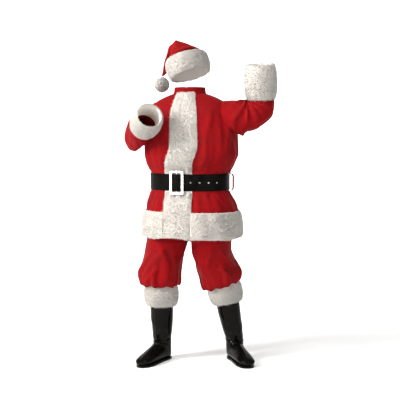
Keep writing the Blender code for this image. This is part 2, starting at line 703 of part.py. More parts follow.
def belt_columns():
    """Angles along the strap and its distance off the jacket at each.

    It starts behind the buckle's rod, goes round by the wearer's right and the back, and
    passes over the rod and its own start to a free end. Angles fall along it.
    """
    level = along_at(np.array([BELT_HEIGHT]))
    steps = np.array((0.003, -0.003, -0.007, -0.011, -0.020, -0.030, -0.040))
    under = angle_across(level, BUCKLE_ACROSS + steps)
    roll = np.array((0.0038, 0.0038, 0.0026, 0.0, 0.0, 0.0, 0.0))
    tongue = band_angle(level, -UNDER_RIGHT)
    rise = angle_across(level, BUCKLE_ACROSS + np.array((0.011, 0.007)))
    left_band = band_angle(level, np.array((0.69, UNDER_LEFT)))
    around = around_columns(level)[0][::-1]
    on_fur = FLAT_FUR + 2 * LIE
    on_strap = on_fur + LEATHER + LIE
    on_edge = 0.0026
    angles = np.concatenate([under, tongue, around[:1] - 2 * pi, around[1:-1] - 2 * pi,
                             around[-1:] - 2 * pi, left_band - 2 * pi, rise - 2 * pi,
                             under - 2 * pi, tongue - 2 * pi])
    off = np.concatenate([np.full(len(under) + 1, on_fur), [on_edge], np.full(len(around) - 2, 2 * LIE),
                          [on_edge, on_fur, on_fur], on_strap + np.array((0.0, 0.0026)),
                          on_strap + roll, [on_strap]])
    return angles, off


def make_belt():
    angles, off = belt_columns()
    angles, off = angles[::-1], off[::-1]
    edges = along_at(np.array((BELT_HEIGHT - BELT_WIDTH / 2, BELT_HEIGHT + BELT_WIDTH / 2)))
    inner = jacket(angles[None], edges[:, None], off[None])
    outer = jacket(angles[None], edges[:, None], off[None] + LEATHER)
    add_wall("belt_strap", outer, inner, "belt_leather")


def buckle_place():
    """Middle of the buckle's back face, and its directions across, up and out."""
    level = along_at(np.array([BELT_HEIGHT]))
    angle = angle_across(level, np.array([BUCKLE_ACROSS]))
    face = jacket(angle, level)[0]
    out = unit(jacket(angle, level, 0.01)[0] - face)
    out[2] = 0
    out = unit(out)
    up = np.array((0.0, 0.0, 1.0))
    across = np.cross(up, out)
    lift = FLAT_FUR + 3 * LIE + 2 * LEATHER
    return face + out * lift, across, up, out


def rounded_outline(half_width, half_height, corner, steps=4):
    """Rectangle with round corners, one row of (across, up) for each point."""
    turn = np.concatenate([np.linspace(0, pi / 2, steps) + quarter * pi / 2 for quarter in range(4)])
    quarter = np.repeat(np.arange(4), steps)
    across = (half_width - corner) * np.array((1, -1, -1, 1))[quarter] + corner * np.cos(turn)
    up = (half_height - corner) * np.array((1, 1, -1, -1))[quarter] + corner * np.sin(turn)
    return np.stack([across, up], -1)


def make_buckle():
    """Flat metal frame with a rod behind the strap, joined to the frame's ends."""
    middle, across, up, out = buckle_place()
    width, height = BUCKLE_SIZE
    bevel = 0.0014
    rims = []
    for inset, lift in ((bevel, 0), (0, bevel), (0, BUCKLE_THICK - bevel), (bevel, BUCKLE_THICK)):
        rims.append((rounded_outline(width / 2 - inset, height / 2 - inset, 0.008), lift))
    inner_half = (width / 2 - BUCKLE_SIDE_BAR, height / 2 - BUCKLE_END_BAR)
    for inset, lift in ((bevel, BUCKLE_THICK), (0, BUCKLE_THICK - bevel), (0, bevel), (bevel, 0)):
        rims.append((rounded_outline(inner_half[0] + inset, inner_half[1] + inset, 0.004), lift))
    back = -0.0003
    grid = np.stack([middle + flat[:, :1] * across + flat[:, 1:] * up + (lift + back) * out
                     for flat, lift in rims], 1)
    frame = add_ring("buckle_frame", grid, "buckle_metal")
    add_rod(frame, middle - 0.0017 * out, height - BUCKLE_END_BAR)


def add_rod(frame, middle, length):
    """Upright rod joined to the buckle's frame."""
    bpy.ops.mesh.primitive_cylinder_add(vertices=10, radius=BUCKLE_ROD, depth=length, location=middle)
    rod = bpy.context.object
    rod.name = "buckle_rod_tool"
    rod.hide_render = True
    rod.display_type = "WIRE"
    move_to(rod, "cutters")
    union = frame.modifiers.new("rod", "BOOLEAN")
    union.operation = "UNION"
    union.object = rod


def make_eyelets():
    """Small metal rings set on the strap, at even steps along it."""
    level = along_at(np.array([BELT_HEIGHT]))
    fine = np.linspace(0, pi / 2, 400) + angle_across(level, BUCKLE_ACROSS)
    line = strap_face(fine)
    arc = np.concatenate([[0], np.cumsum(np.linalg.norm(np.diff(line, axis=0), axis=1))])
    ring, wire = EYELET_RING
    turn = np.linspace(0, 2 * pi, EYELET_SIDES[0], endpoint=False)
    round_wire = np.linspace(0, 2 * pi, EYELET_SIDES[1], endpoint=False)
    for number in range(EYELETS):
        angle = np.interp(EYELET_FIRST + number * EYELET_PITCH, arc, fine)
        near = strap_face(np.array((angle - 0.01, angle, angle + 0.01)))
        side = unit(near[2] - near[0])
        up = np.array((0.0, 0.0, 1.0))
        out = np.cross(side, up)
        spoke = np.cos(turn)[:, None] * side + np.sin(turn)[:, None] * up
        grid = (near[1] + out * (wire + LIE)
                + spoke[:, None] * (ring + wire * np.cos(round_wire))[None, :, None]
                + out * (wire * np.sin(round_wire))[None, :, None])
        add_ring(f"belt_eyelet_{number + 1}", grid, "buckle_metal")


def strap_face(angle):
    """Points on the strap's facets at its mid height, left of the buckle."""
    angles, off = belt_columns()
    visible = angles < -3 * pi / 2
    columns = angles[visible][::-1]
    depth = off[visible][::-1] + LEATHER
    edges = along_at(np.array((BELT_HEIGHT - BELT_WIDTH / 2, BELT_HEIGHT + BELT_WIDTH / 2)))
    points = jacket(columns[None], edges[:, None], depth[None]).mean(0)
    return np.stack([np.interp(angle - 2 * pi, columns, points[:, k]) for k in range(3)], -1)


def belt_loop_rows(stand):
    """Heights of a belt loop's rows over the belt's middle, and how far off each row is."""
    down = np.array((1.0, 0.95, 0.81, 0.45, -0.45, -0.81, -0.95, -1.0)) * LOOP_REACH
    bow = np.array((0.0007, 0.0032, 0.60 * stand, stand, stand, 0.60 * stand, 0.0032, 0.0007))
    over_belt = np.where(np.abs(down) < 0.051, LEATHER + 4 * LIE, 0)
    return down, np.maximum(bow, over_belt)


def make_belt_loops():
    """Narrow loops of cloth over the belt at both side seams."""
    for side_name, stand in LOOP_STANDS.items():
        middle = pi / 2 if side_name == "left" else -pi / 2
        down, bow = belt_loop_rows(stand)
        level = along_at(BELT_HEIGHT + down)
        angles = middle + LOOP_HALF / SIDE_RADIUS * np.array([[-1, 1]])
        outer = jacket(angles, level[:, None], bow[:, None] + LOOP_THICK)
        inner = jacket(angles, level[:, None], bow[:, None])
        add_wall("belt_loop_" + side_name, outer, inner, "red_plush")


# Trousers

def make_waistband():
    """Plain band inside the jacket, under the belt."""
    rows = along_at(np.array((WAIST_BOTTOM, WAIST_TOP)))
    angles = around_columns(rows)
    front = np.stack([band_angle(rows, part) for part in BAND_STEPS[1:-1]], -1)
    angles = np.concatenate([front, angles], 1)
    outer = jacket(angles, rows[:, None], -CLOTH - LIE)
    inner = jacket(angles, rows[:, None], -CLOTH - LIE - 2 * TROUSER_CLOTH)
    add_wall("trouser_waistband", outer, inner, "red_plush", around=True)


def hip_point(angle, height):
    """Hips under the jacket: an ellipse turned like it."""
    table = np.array(HIP_RINGS)
    order = table[::-1]
    half_width, front, back = [smooth_through(order[:, 0], order[:, k], height) for k in (1, 2, 3)]
    s, c = np.sin(angle), np.cos(angle)
    depth = np.where(c > 0, front, back)
    radius = ((np.abs(s) / half_width) ** 2 + (np.abs(c) / depth) ** 2) ** -0.5
    return turned(np.stack([radius * s, -radius * c, height + 0 * radius], -1), TURN)


def leg_point(side_name, part, height):
    """Ring of the leg below the crotch: an ellipse tipped by its tilt, with gathers."""
    side = 1 if side_name == "left" else -1
    table = np.array(LEG_RINGS[side_name])[::-1]
    across, along, half_width, half_depth, tilt = [
        smooth_through(table[:, 0], table[:, k], height) for k in range(1, 6)]
    turn = 2 * pi * part
    wave = sum(size * np.cos(count * turn + phase) for count, size, phase in GATHERS)
    full = 1 - ease(half_width, 0.104, 0.080)
    gather = wave * ease(-height, 0.84, 0.98) * full
    crease = leg_folds(side_name, part, height) * full
    inward = -side * np.cos(turn) * (half_width + gather + crease)
    forward = -np.sin(turn) * (half_depth + gather + crease)
    lean = np.radians(tilt)
    local = np.stack([inward * np.cos(lean), forward, inward * np.sin(lean)], -1)
    base = np.stack([across + 0 * turn, along + 0 * turn, height + 0 * turn], -1)
    return base + local


def leg_folds(side_name, part, height):
    total = 0
    for middle, level, lean, width, length, depth in LEG_FOLDS[side_name]:
        off = (part - middle - lean * (height - level) + 0.5) % 1 - 0.5
        near = np.exp(-(off / width) ** 2 - ((height - level) / length) ** 2)
        total = total + depth * near
    return total


def trouser_surface(side_name, part, height):
    """Half the hips above the crotch, passing to a closed ring below it."""
    side = 1 if side_name == "left" else -1
    rise = (CROTCH + CROTCH_RISE - height) / CROTCH_RISE
    seam = np.where(rise >= 1, 1, 1 - np.sqrt(np.clip(1 - np.clip(rise, 0, 1) ** 2, 0, 1)))
    near_seam = np.exp(-(np.sin(pi * part) / 0.35) ** 2)
    closed = near_seam * seam + (1 - near_seam) * ease(rise, 0, 1.25)
    angle = side * pi * part
    top = 1 - ease(-height, 0.461, 0.53)
    under = jacket(angle, along_at(height), -CLOTH - 0.0016)
    hips = hip_point(angle, height) * (1 - top)[..., None] + under * top[..., None]
    return hips * (1 - closed)[..., None] + leg_point(side_name, part, height) * closed[..., None]


def make_leg(side_name):
    """One piece of cloth round the leg, meeting itself at the inseam."""
    side = 1 if side_name == "left" else -1
    heights = np.concatenate([[WAIST_BOTTOM - SEAM, -0.560, -0.665],
                              CROTCH + CROTCH_RISE * (1 - np.sin(np.radians((35, 60, 80)))),
                              -np.array(LEG_ROWS[side_name])])
    part = np.linspace(0, 1, LEG_AROUND + 1)
    gap = SEAM / 2 / LEG_RADIUS / (2 * pi)
    part[0] += gap
    part[-1] -= gap
    part, height = np.meshgrid(part, heights)
    outer = trouser_surface(side_name, part, height)
    small = 1e-4
    run = (trouser_surface(side_name, part + small, height)
           - trouser_surface(side_name, part - small, height))
    drop = (trouser_surface(side_name, part, height - small)
            - trouser_surface(side_name, part, height + small))
    inner = outer + TROUSER_CLOTH * side * unit(np.cross(run, drop))
    add_wall("trouser_leg_" + side_name, outer, inner, "red_plush", loose=True)


def make_leg_cuff(side_name):
    """Fur ring under the blousing, drawn in below to the boot."""
    place = LEG_CUFFS[side_name]
    rows = np.array(LEG_CUFF_ROWS)
    top, foot = np.array(place["top"]), np.array(place["foot"])
    side = 1 if side_name == "left" else -1
    turn = np.linspace(0, 2 * pi, LEG_AROUND, endpoint=False)[:, None]
    down = np.concatenate([rows[:, 0], rows[::-1, 0]])
    radius = np.concatenate([rows[:, 1], rows[::-1, 2]])
    part = down / rows[-1, 0]
    lean = np.radians(place["tilt"] + part * (place["foot_tilt"] - place["tilt"]))
    inward = -side * np.cos(turn) * radius
    spoke = np.stack([inward * np.cos(lean), -np.sin(turn) * radius, inward * np.sin(lean)], -1)
    add_ring("trouser_fur_cuff_" + side_name, top + part[:, None] * (foot - top) + spoke, "white_fur")


# Boots

def boot_rings(side_name, shrink):
    """Rings from the shaft's top over the ankle to the toe."""
    place = BOOTS[side_name]
    heading = place["heading"]
    forward = np.array((np.sin(heading), -np.cos(heading), 0))
    right = np.array((np.cos(heading), np.sin(heading), 0))
    up = np.array((0.0, 0.0, 1.0))
    ankle = np.array((*place["ankle"], FLOOR))
    turn = np.linspace(0, 2 * pi, BOOT_AROUND, endpoint=False)
    foot = np.array(BOOT_RINGS)
    rings = []
    bend_middle = (ankle + forward * (foot[0, 0] + foot[0, 2]) / 2
                   + up * (foot[0, 1] + foot[0, 3]) / 2)
    top = np.array(place["shaft_top"])
    for part, half_width, half_depth in SHAFT_RINGS:
        tilt = radians(place["tilt"]) * (1 - part)
        wide = right * np.cos(tilt) + up * np.sin(tilt)
        middle = top + part * (bend_middle - top)
        middle = middle + 0.006 * np.sin(pi * part) * forward * -1
        rings.append(middle + np.cos(turn)[:, None] * wide * (half_width - shrink)
                     + np.sin(turn)[:, None] * forward * (half_depth - shrink))
    for top_forward, top_height, low_forward, low_height, half_width in foot:
        high = ankle + forward * top_forward + up * top_height
        low = ankle + forward * low_forward + up * low_height
        middle = (high + low) / 2
        spoke = (high - low) / 2
        half = np.linalg.norm(spoke)
        spoke = spoke / half
        lift = np.sin(turn)
        squared = np.sign(lift) * np.abs(lift) ** 0.85
        rings.append(middle + np.cos(turn)[:, None] * right * (half_width - shrink)
                     + squared[:, None] * spoke * (half - shrink))
    return np.stack(rings)


def make_boot(side_name):
    outer = boot_rings(side_name, 0)
    inner = boot_rings(side_name, VINYL)
    place = BOOTS[side_name]
    heading = place["heading"]
    forward = np.array((np.sin(heading), -np.cos(heading), 0))
    boot = add_wall("boot_" + side_name, outer, inner, "boot_vinyl", around=True, tip=True)
    poles = boot.data.vertices[-2:]
    poles[0].co = tuple(np.array(poles[0].co) + forward * 0.006)
    poles[1].co = tuple(np.array(poles[1].co) + forward * 0.003)
    outline = np.array(SOLE_OUTLINE)
    right = np.array((np.cos(heading), np.sin(heading), 0))
    ankle = np.array((*place["ankle"], FLOOR))
    edge = np.concatenate([outline, outline[::-1] * (1, -1)])
    flat = ankle + edge[:, :1] * forward + edge[:, 1:] * right
    add_slab("boot_sole_" + side_name, flat, SOLE, "boot_vinyl")


def add_slab(name, flat, height, finish):
    """Flat outline with its sides straight up."""
    count = len(flat)
    points = np.concatenate([flat, flat + np.array((0, 0, height))])
    lower = list(range(count))
    faces = [lower[::-1], [k + count for k in lower]]
    faces += [[k, (k + 1) % count, (k + 1) % count + count, k + count] for k in lower]
    return add_mesh(name, points, faces, finish)


# Hat

def hat_axes():
    """Directions of the hat's band: across, back and up."""
    roll_c, roll_s = np.cos(HAT_ROLL), np.sin(HAT_ROLL)
    pitch_c, pitch_s = np.cos(HAT_PITCH), np.sin(HAT_PITCH)
    roll = np.array(((roll_c, 0, roll_s), (0, 1, 0), (-roll_s, 0, roll_c)))
    pitch = np.array(((1, 0, 0), (0, pitch_c, -pitch_s), (0, pitch_s, pitch_c)))
    return (roll @ pitch).T


def hat_ring(height, grow, turn):
    """Ring in the band's own plane, a height above its middle."""
    across, back, up = hat_axes()
    wide, deep = HAT_HALF[0] + grow, HAT_HALF[1] + grow
    return (np.array(HAT_MIDDLE) + height * up + np.cos(turn)[:, None] * across * wide
            + np.sin(turn)[:, None] * back * deep)


def crown_rings(shrink):
    turn = np.linspace(0, 2 * pi, HAT_AROUND, endpoint=False)
    low = HAT_BAND_HALF_HEIGHT - HAT_OVERLAP
    rings = [hat_ring(low, -shrink, turn), hat_ring(HAT_BAND_HALF_HEIGHT, -shrink, turn)]
    for outer_x, outer_z, inner_x, inner_z, half_depth, back, rise in HAT_RINGS:
        high = np.array((outer_x, back, outer_z))
        near = np.array((inner_x, back, inner_z))
        half = np.linalg.norm(high - near) / 2
        wide = (high - near) / 2 * (half - shrink) / half
        deep = np.array((0, half_depth - shrink, -rise))
        rings.append((high + near) / 2 + np.cos(turn)[:, None] * wide + np.sin(turn)[:, None] * deep)
    rings[-1] = rings[-1] + 2 * shrink * unit(rings[-2].mean(0) - rings[-1].mean(0))
    return np.stack(rings)


def make_hat():
    """Crown folded over to the wearer's right, its tip hanging behind the band."""
    add_wall("hat_crown", crown_rings(0), crown_rings(CLOTH), "red_plush",
             around=True, tip=True, loose=True)
    turn = np.linspace(0, 2 * pi, HAT_AROUND, endpoint=False)
    high = HAT_BAND_HALF_HEIGHT
    section = ((high, LIE), (high - HAT_OVERLAP, LIE), (-high, LIE), (-high, 0.010),
               (0.016 - high, HAT_FUR), (0.0, HAT_FUR + 0.002), (high - 0.016, HAT_FUR), (high, 0.010))
    rings = [hat_ring(level, grow, turn) for level, grow in section]
    add_ring("hat_fur_band", np.stack(rings, 1), "white_fur")
    bpy.ops.mesh.primitive_ico_sphere_add(subdivisions=3, radius=POMPOM_RADIUS,
                                          location=POMPOM_MIDDLE)
    pompom = bpy.context.object
    pompom.name = "hat_pompom"
    pompom.data.materials.append(bpy.data.materials["white_fur"])
    pompom.data.shade_smooth()
    move_to(pompom, "santa_suit")


def main():
    for item in list(bpy.data.objects):
        bpy.data.objects.remove(item, do_unlink=True)
    for name in ("santa_suit", "cutters"):
        bpy.context.scene.collection.children.link(bpy.data.collections.new(name))
    make_materials()
    rows = jacket_rows()
    make_jacket_panels(rows)
    make_neckband()
    make_front_band(rows)
    make_hem_band()
    for side_name in ("left", "right"):
        make_sleeve(side_name)
        make_cuff(side_name)
    make_belt()
    make_buckle()
    make_eyelets()
    make_belt_loops()
    make_waistband()
    for side_name in ("left", "right"):
        make_leg(side_name)
        make_leg_cuff(side_name)
        make_boot(side_name)
    make_hat()


main()
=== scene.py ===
"""Santa suit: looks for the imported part.

Builds the plush cloth, fur trim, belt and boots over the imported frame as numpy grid
surfaces with soft creases, gives every piece its material, and sets the stage.
Metres, +Z up, the front looks along -Y and +X is the suit's own left.
"""

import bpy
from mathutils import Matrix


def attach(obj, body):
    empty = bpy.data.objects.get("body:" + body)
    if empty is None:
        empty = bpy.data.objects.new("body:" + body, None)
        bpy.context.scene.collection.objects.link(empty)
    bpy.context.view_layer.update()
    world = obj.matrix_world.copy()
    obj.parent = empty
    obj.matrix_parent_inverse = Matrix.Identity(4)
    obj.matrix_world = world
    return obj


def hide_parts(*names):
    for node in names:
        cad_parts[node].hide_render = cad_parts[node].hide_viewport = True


bl_info = {
    "name": "Santa suit looks",
    "version": (1, 0, 0),
    "blender": (4, 5, 0),
    "location": "View3D > Sidebar > Santa suit",
    "description": "Plush cloth, fur, leather and vinyl over the packed suit",
    "category": "Object",
}

from math import pi, radians

import bmesh
import bpy
import numpy as np
from bpy.props import FloatProperty, FloatVectorProperty, PointerProperty
from bpy.types import Operator, Panel, PropertyGroup
from mathutils import Vector

CAMERA_PLACE = (0.055, -5.0, -0.16)
CAMERA_AIM = (0.055, 0.0, -0.55)
LENS, SENSOR = 81.8, 36.0   # in millimetres
LIGHT_AIM = (0.05, 0.0, -0.55)
COLUMN_STEPS = 5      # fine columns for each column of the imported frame
ROW_STEPS = 5
RING_STEPS = 6        # fine rings for each ring of a boot or the hat
TRIM_STEPS = 5        # fine rows for each row of a fur trim or the belt
NUDGE = 1e-4          # step over which a surface's direction is measured

# Thicknesses and gaps
CLOTH = 0.0020
TROUSER_CLOTH = 0.0018
LEATHER = 0.0035
VINYL = 0.0022
SEAM = 0.0003
LIE = 0.0004          # gap under a piece that lies on another
FUR = 0.016           # fur trim, backing to tips
FLAT_FUR = 0.0046     # the same fur pressed under the belt

# How the jacket stands
TURN = radians(-20)   # the jacket is turned towards its own right
FLOOR = -1.460

# Jacket: one row for each ring of the body, hem to collar
BODY_COLUMNS = ("height", "half_width", "front", "back", "square", "sway")
BODY_RINGS = (
    (-0.758, 0.270, 0.212, 0.205, 2.15, 0.016),
    (-0.680, 0.267, 0.204, 0.196, 2.15, 0.015),
    (-0.605, 0.258, 0.192, 0.182, 2.15, 0.012),
    (-0.550, 0.244, 0.176, 0.166, 2.20, 0.007),
    (-0.512, 0.228, 0.161, 0.153, 2.20, 0.002),
    (-0.492, 0.219, 0.160, 0.148, 2.20, 0.000),
    (-0.445, 0.218, 0.160, 0.148, 2.20, 0.000),
    (-0.398, 0.219, 0.160, 0.148, 2.20, 0.000),
    (-0.380, 0.231, 0.161, 0.153, 2.20, 0.001),
    (-0.345, 0.250, 0.178, 0.162, 2.20, 0.003),
    (-0.290, 0.266, 0.184, 0.162, 2.20, 0.008),
    (-0.200, 0.266, 0.175, 0.158, 2.20, 0.005),
    (-0.120, 0.250, 0.158, 0.148, 2.20, 0.000),
    (-0.050, 0.226, 0.136, 0.128, 2.20, 0.000),
    (-0.012, 0.192, 0.115, 0.112, 2.20, 0.000),
    (0.010, 0.152, 0.100, 0.098, 2.15, 0.000),
    (0.024, 0.118, 0.090, 0.088, 2.10, 0.000),
    (0.035, 0.090, 0.083, 0.080, 2.05, 0.000),
    (0.067, 0.085, 0.078, 0.076, 2.05, 0.000),
)
HEM = -0.746
RED_HEM = -0.630      # the red cloth ends behind the hem's fur
FUR_HEM_TOP = -0.605
NECK_SEAM = 0.035
COLLAR_TOP = 0.067
COLLAR_OPENING = 0.02 # from the band's middle to the neckband's end, of its half width
UNDERARM = -0.190
SHOULDER_TIP = -0.008
ARM_OPENING = radians(21)   # half the armhole's reach round the body
ARM_STEPS = 10              # rows of cloth beside one half of the armhole
FRONT_REACH = 0.975         # depth of the jacket where the front band lies, of its middle
CHEST_RADIUS = 0.24
SIDE_RADIUS = 0.22
HEM_RADIUS = 0.20
LEG_RADIUS = 0.12

# Soft folds of the jacket: a row for each ridge
# Columns: angle, height, lean, width, length, depth
FOLDS = (
    (32, -0.760, 0, 8.0, 0.20, 0.010),
    (56, -0.760, -4, 8.5, 0.22, 0.012),
    (86, -0.760, -4, 9.0, 0.20, 0.010),
    (114, -0.760, 3, 10.0, 0.19, 0.009),
    (143, -0.760, 0, 10.0, 0.21, 0.012),
    (172, -0.760, 3, 10.0, 0.18, 0.009),
    (201, -0.760, -3, 10.0, 0.22, 0.012),
    (230, -0.760, 0, 10.0, 0.19, 0.009),
    (256, -0.760, 4, 9.0, 0.20, 0.010),
    (-74, -0.760, 0, 9.0, 0.20, 0.009),
    (-48, -0.760, 4, 8.0, 0.18, 0.008),
    (44, -0.330, 6, 9.0, 0.10, 0.006),
    (70, -0.300, -6, 9.0, 0.12, 0.007),
    (-60, -0.320, 6, 9.0, 0.11, 0.006),
    (128, -0.320, 5, 10.0, 0.11, 0.007),
    (160, -0.310, 0, 10.0, 0.12, 0.006),
    (204, -0.320, -3, 10.0, 0.12, 0.007),
    (236, -0.310, 5, 10.0, 0.12, 0.007),
)

# Creases of the jacket's cloth, finer than its folds, with the same columns
CREASES = (
    (71, -0.200, 6.0, 4.5, 0.120, 0.0170),
    (60, -0.250, 3.0, 3.5, 0.100, 0.0100),
    (80, -0.290, -4.0, 4.0, 0.090, 0.0130),
    (50, -0.120, 9.0, 5.0, 0.080, 0.0100),
    (40, -0.300, 2.0, 3.5, 0.080, 0.0090),
    (-33, -0.270, 2.0, 4.0, 0.090, 0.0120),
    (-46, -0.300, -5.0, 4.5, 0.080, 0.0120),
    (-62, -0.280, -7.0, 5.0, 0.090, 0.0140),
    (-42, -0.130, -8.0, 5.0, 0.070, 0.0100),
    (116, -0.230, -6.0, 5.0, 0.110, 0.0140),
    (135, -0.180, 5.0, 5.0, 0.100, 0.0120),
    (150, -0.260, -3.0, 4.5, 0.110, 0.0110),
    (176, -0.220, 2.0, 5.0, 0.130, 0.0120),
    (196, -0.290, -4.0, 4.0, 0.090, 0.0100),
    (214, -0.190, 5.0, 5.0, 0.100, 0.0120),
    (240, -0.250, 7.0, 5.0, 0.110, 0.0140),
    (30, -0.560, 3.0, 4.0, 0.050, 0.0080),
    (58, -0.570, -5.0, 4.0, 0.055, 0.0110),
    (97, -0.570, 4.0, 5.0, 0.060, 0.0100),
    (130, -0.570, -4.0, 4.5, 0.055, 0.0100),
    (165, -0.570, 4.0, 4.5, 0.060, 0.0100),
    (200, -0.570, -3.0, 4.5, 0.055, 0.0100),
    (235, -0.570, 5.0, 4.5, 0.060, 0.0100),
    (-40, -0.565, 4.0, 4.0, 0.055, 0.0090),
    (-66, -0.570, -5.0, 4.5, 0.055, 0.0110),
)

TROUGH_DEPTH, TROUGH_WIDTH = 0.35, 2.2   # of the trough beside each ridge, of the ridge's own

# Waves round the jacket and the legs
# Columns: count, height, phase
HEM_WAVES = ((3, 0.0040, 0.5), (7, 0.0030, 1.2), (13, 0.0014, 0.0))
BELT_GATHERS = ((23, 0.0022, 0.3), (37, 0.0013, 1.7), (14, 0.0016, 2.6))
LEG_GATHERS = ((6, 0.0028, 0.4), (9, 0.0018, 1.9), (13, 0.0034, 1.1), (19, 0.0020, 2.7))
LEG_SCALLOPS = ((7, 0.0040, 0.9), (12, 0.0024, 2.1))
LEG_HANG = {"left": 0.022, "right": 0.013}   # how far the blousing hangs over the fur

# Fur band down the front, its middle measured across from the jacket's middle
# Columns: height, middle, half width
BAND_ROWS = (
    (-0.760, -0.018, 0.080),
    (-0.550, -0.016, 0.081),
    (-0.512, -0.010, 0.080),
    (-0.380, -0.010, 0.080),
    (-0.340, -0.004, 0.080),
    (-0.235, 0.024, 0.078),
    (-0.100, 0.020, 0.076),
    (0.000, 0.012, 0.060),
    (0.067, 0.008, 0.050),
)
UNDER_RIGHT = 0.69    # where the right front ends under the band, of its half width
UNDER_LEFT = 0.36     # where the left front starts under it

# Belt
BELT_HEIGHT = -0.445
BELT_WIDTH = 0.091
BUCKLE_ACROSS = -0.011
BUCKLE_SIZE = (0.080, 0.129)
LOOP_REACH = 0.062    # from the belt's middle to the end of a belt loop
LOOP_HALF = 0.008     # half a loop's width
LOOP_THICK = 0.00544  # folded cloth, rounded at its edges
LOOP_STANDS = {"left": 0.030, "right": 0.0065}   # how far a loop stands off

# Sleeves: points under, before, over and behind each, from the armhole to the cuff
# Columns: under, front, top, back
SLEEVE_GUIDES = {
    "left": (
        ((0.281, -0.093, -0.187), (0.222, -0.158, -0.089),
         (0.228, -0.070, -0.006), (0.263, 0.002, -0.093)),
        ((0.312, -0.093, -0.173), (0.286, -0.165, -0.087),
         (0.287, -0.079, -0.012), (0.312, -0.007, -0.098)),
        ((0.366, -0.100, -0.156), (0.317, -0.168, -0.081),
         (0.303, -0.080, -0.014), (0.350, -0.013, -0.089)),
        ((0.423, -0.114, -0.107), (0.343, -0.173, -0.060),
         (0.308, -0.082, -0.011), (0.387, -0.024, -0.058)),
        ((0.448, -0.127, -0.040), (0.357, -0.174, -0.032),
         (0.314, -0.085, -0.006), (0.403, -0.038, -0.016)),
    ),
    "right": (
        ((-0.268, 0.075, -0.216), (-0.236, -0.013, -0.098),
         (-0.206, 0.058, -0.022), (-0.225, 0.152, -0.118)),
        ((-0.286, 0.050, -0.240), (-0.242, -0.020, -0.106),
         (-0.240, 0.044, -0.042), (-0.290, 0.124, -0.155)),
        ((-0.292, 0.014, -0.258), (-0.243, -0.028, -0.114),
         (-0.268, 0.024, -0.062), (-0.332, 0.074, -0.185)),
        ((-0.290, -0.026, -0.266), (-0.236, -0.040, -0.122),
         (-0.286, 0.000, -0.078), (-0.350, 0.018, -0.200)),
        ((-0.276, -0.068, -0.256), (-0.222, -0.058, -0.133),
         (-0.290, -0.030, -0.090), (-0.343, -0.036, -0.200)),
        ((-0.256, -0.124, -0.236), (-0.205, -0.082, -0.146),
         (-0.276, -0.070, -0.090), (-0.327, -0.112, -0.178)),
    ),
}
CUFFS = {
    "left": {"start": (0.382, -0.1093, 0.000), "mouth": (0.374, -0.138, 0.186),
             "front": (-0.328, -0.931, -0.158), "radius": 0.069},
    "right": {"start": (-0.249, -0.133, -0.152), "mouth": (-0.206, -0.262, -0.088),
              "front": (0.945, 0.326, 0.0), "radius": 0.062},
}
PROUD = 0.0006        # a sleeve's seam over the panels' face
CUFF_OVERLAP = 0.026
SLEEVE_AROUND = 2 * ARM_STEPS

# Trousers: a row for each ring of a leg
# Columns: height, across, along, half width, half depth, tilt
LEG_RINGS = {
    "right": (
        (-0.775, -0.125, 0.026, 0.117, 0.138, 0),
        (-0.830, -0.139, 0.026, 0.113, 0.128, 0),
        (-0.875, -0.150, 0.025, 0.110, 0.118, 0),
        (-0.925, -0.160, 0.022, 0.109, 0.112, 0),
        (-0.968, -0.168, 0.022, 0.112, 0.112, 0),
        (-0.997, -0.166, 0.025, 0.107, 0.107, 0),
        (-1.012, -0.164, 0.027, 0.093, 0.093, 0),
        (-1.0190, -0.1630, 0.0280, 0.0782, 0.0782, 0),
        (-1.0460, -0.1624, 0.0303, 0.0780, 0.0780, 0),
    ),
    "left": (
        (-0.775, 0.118, -0.022, 0.111, 0.138, 0),
        (-0.830, 0.122, -0.012, 0.108, 0.130, 3),
        (-0.875, 0.132, 0.000, 0.106, 0.118, 6),
        (-0.925, 0.150, 0.010, 0.110, 0.112, 10),
        (-0.962, 0.170, 0.016, 0.112, 0.112, 14),
        (-0.989, 0.178, 0.023, 0.107, 0.107, 16),
        (-1.003, 0.182, 0.026, 0.093, 0.093, 17),
        (-1.0108, 0.1837, 0.0278, 0.0782, 0.0782, 17),
        (-1.0364, 0.1897, 0.0314, 0.0780, 0.0780, 17),
    ),
}
HIP_RINGS = (
    (-0.461, 0.210, 0.151, 0.140),
    (-0.560, 0.205, 0.146, 0.145),
    (-0.660, 0.226, 0.160, 0.165),
    (-0.775, 0.250, 0.165, 0.175),
)
WAIST_BOTTOM = -0.4605
CROTCH = -0.775
CROTCH_RISE = 0.110
LEG_AROUND = 22
LEG_ROWS = {
    "right": (0.776, 0.820, 0.862, 0.905, 0.945, 0.975, 0.997, 1.012, 1.0190, 1.0460),
    "left": (0.776, 0.820, 0.862, 0.905, 0.940, 0.968, 0.989, 1.003, 1.0108, 1.0364),
}
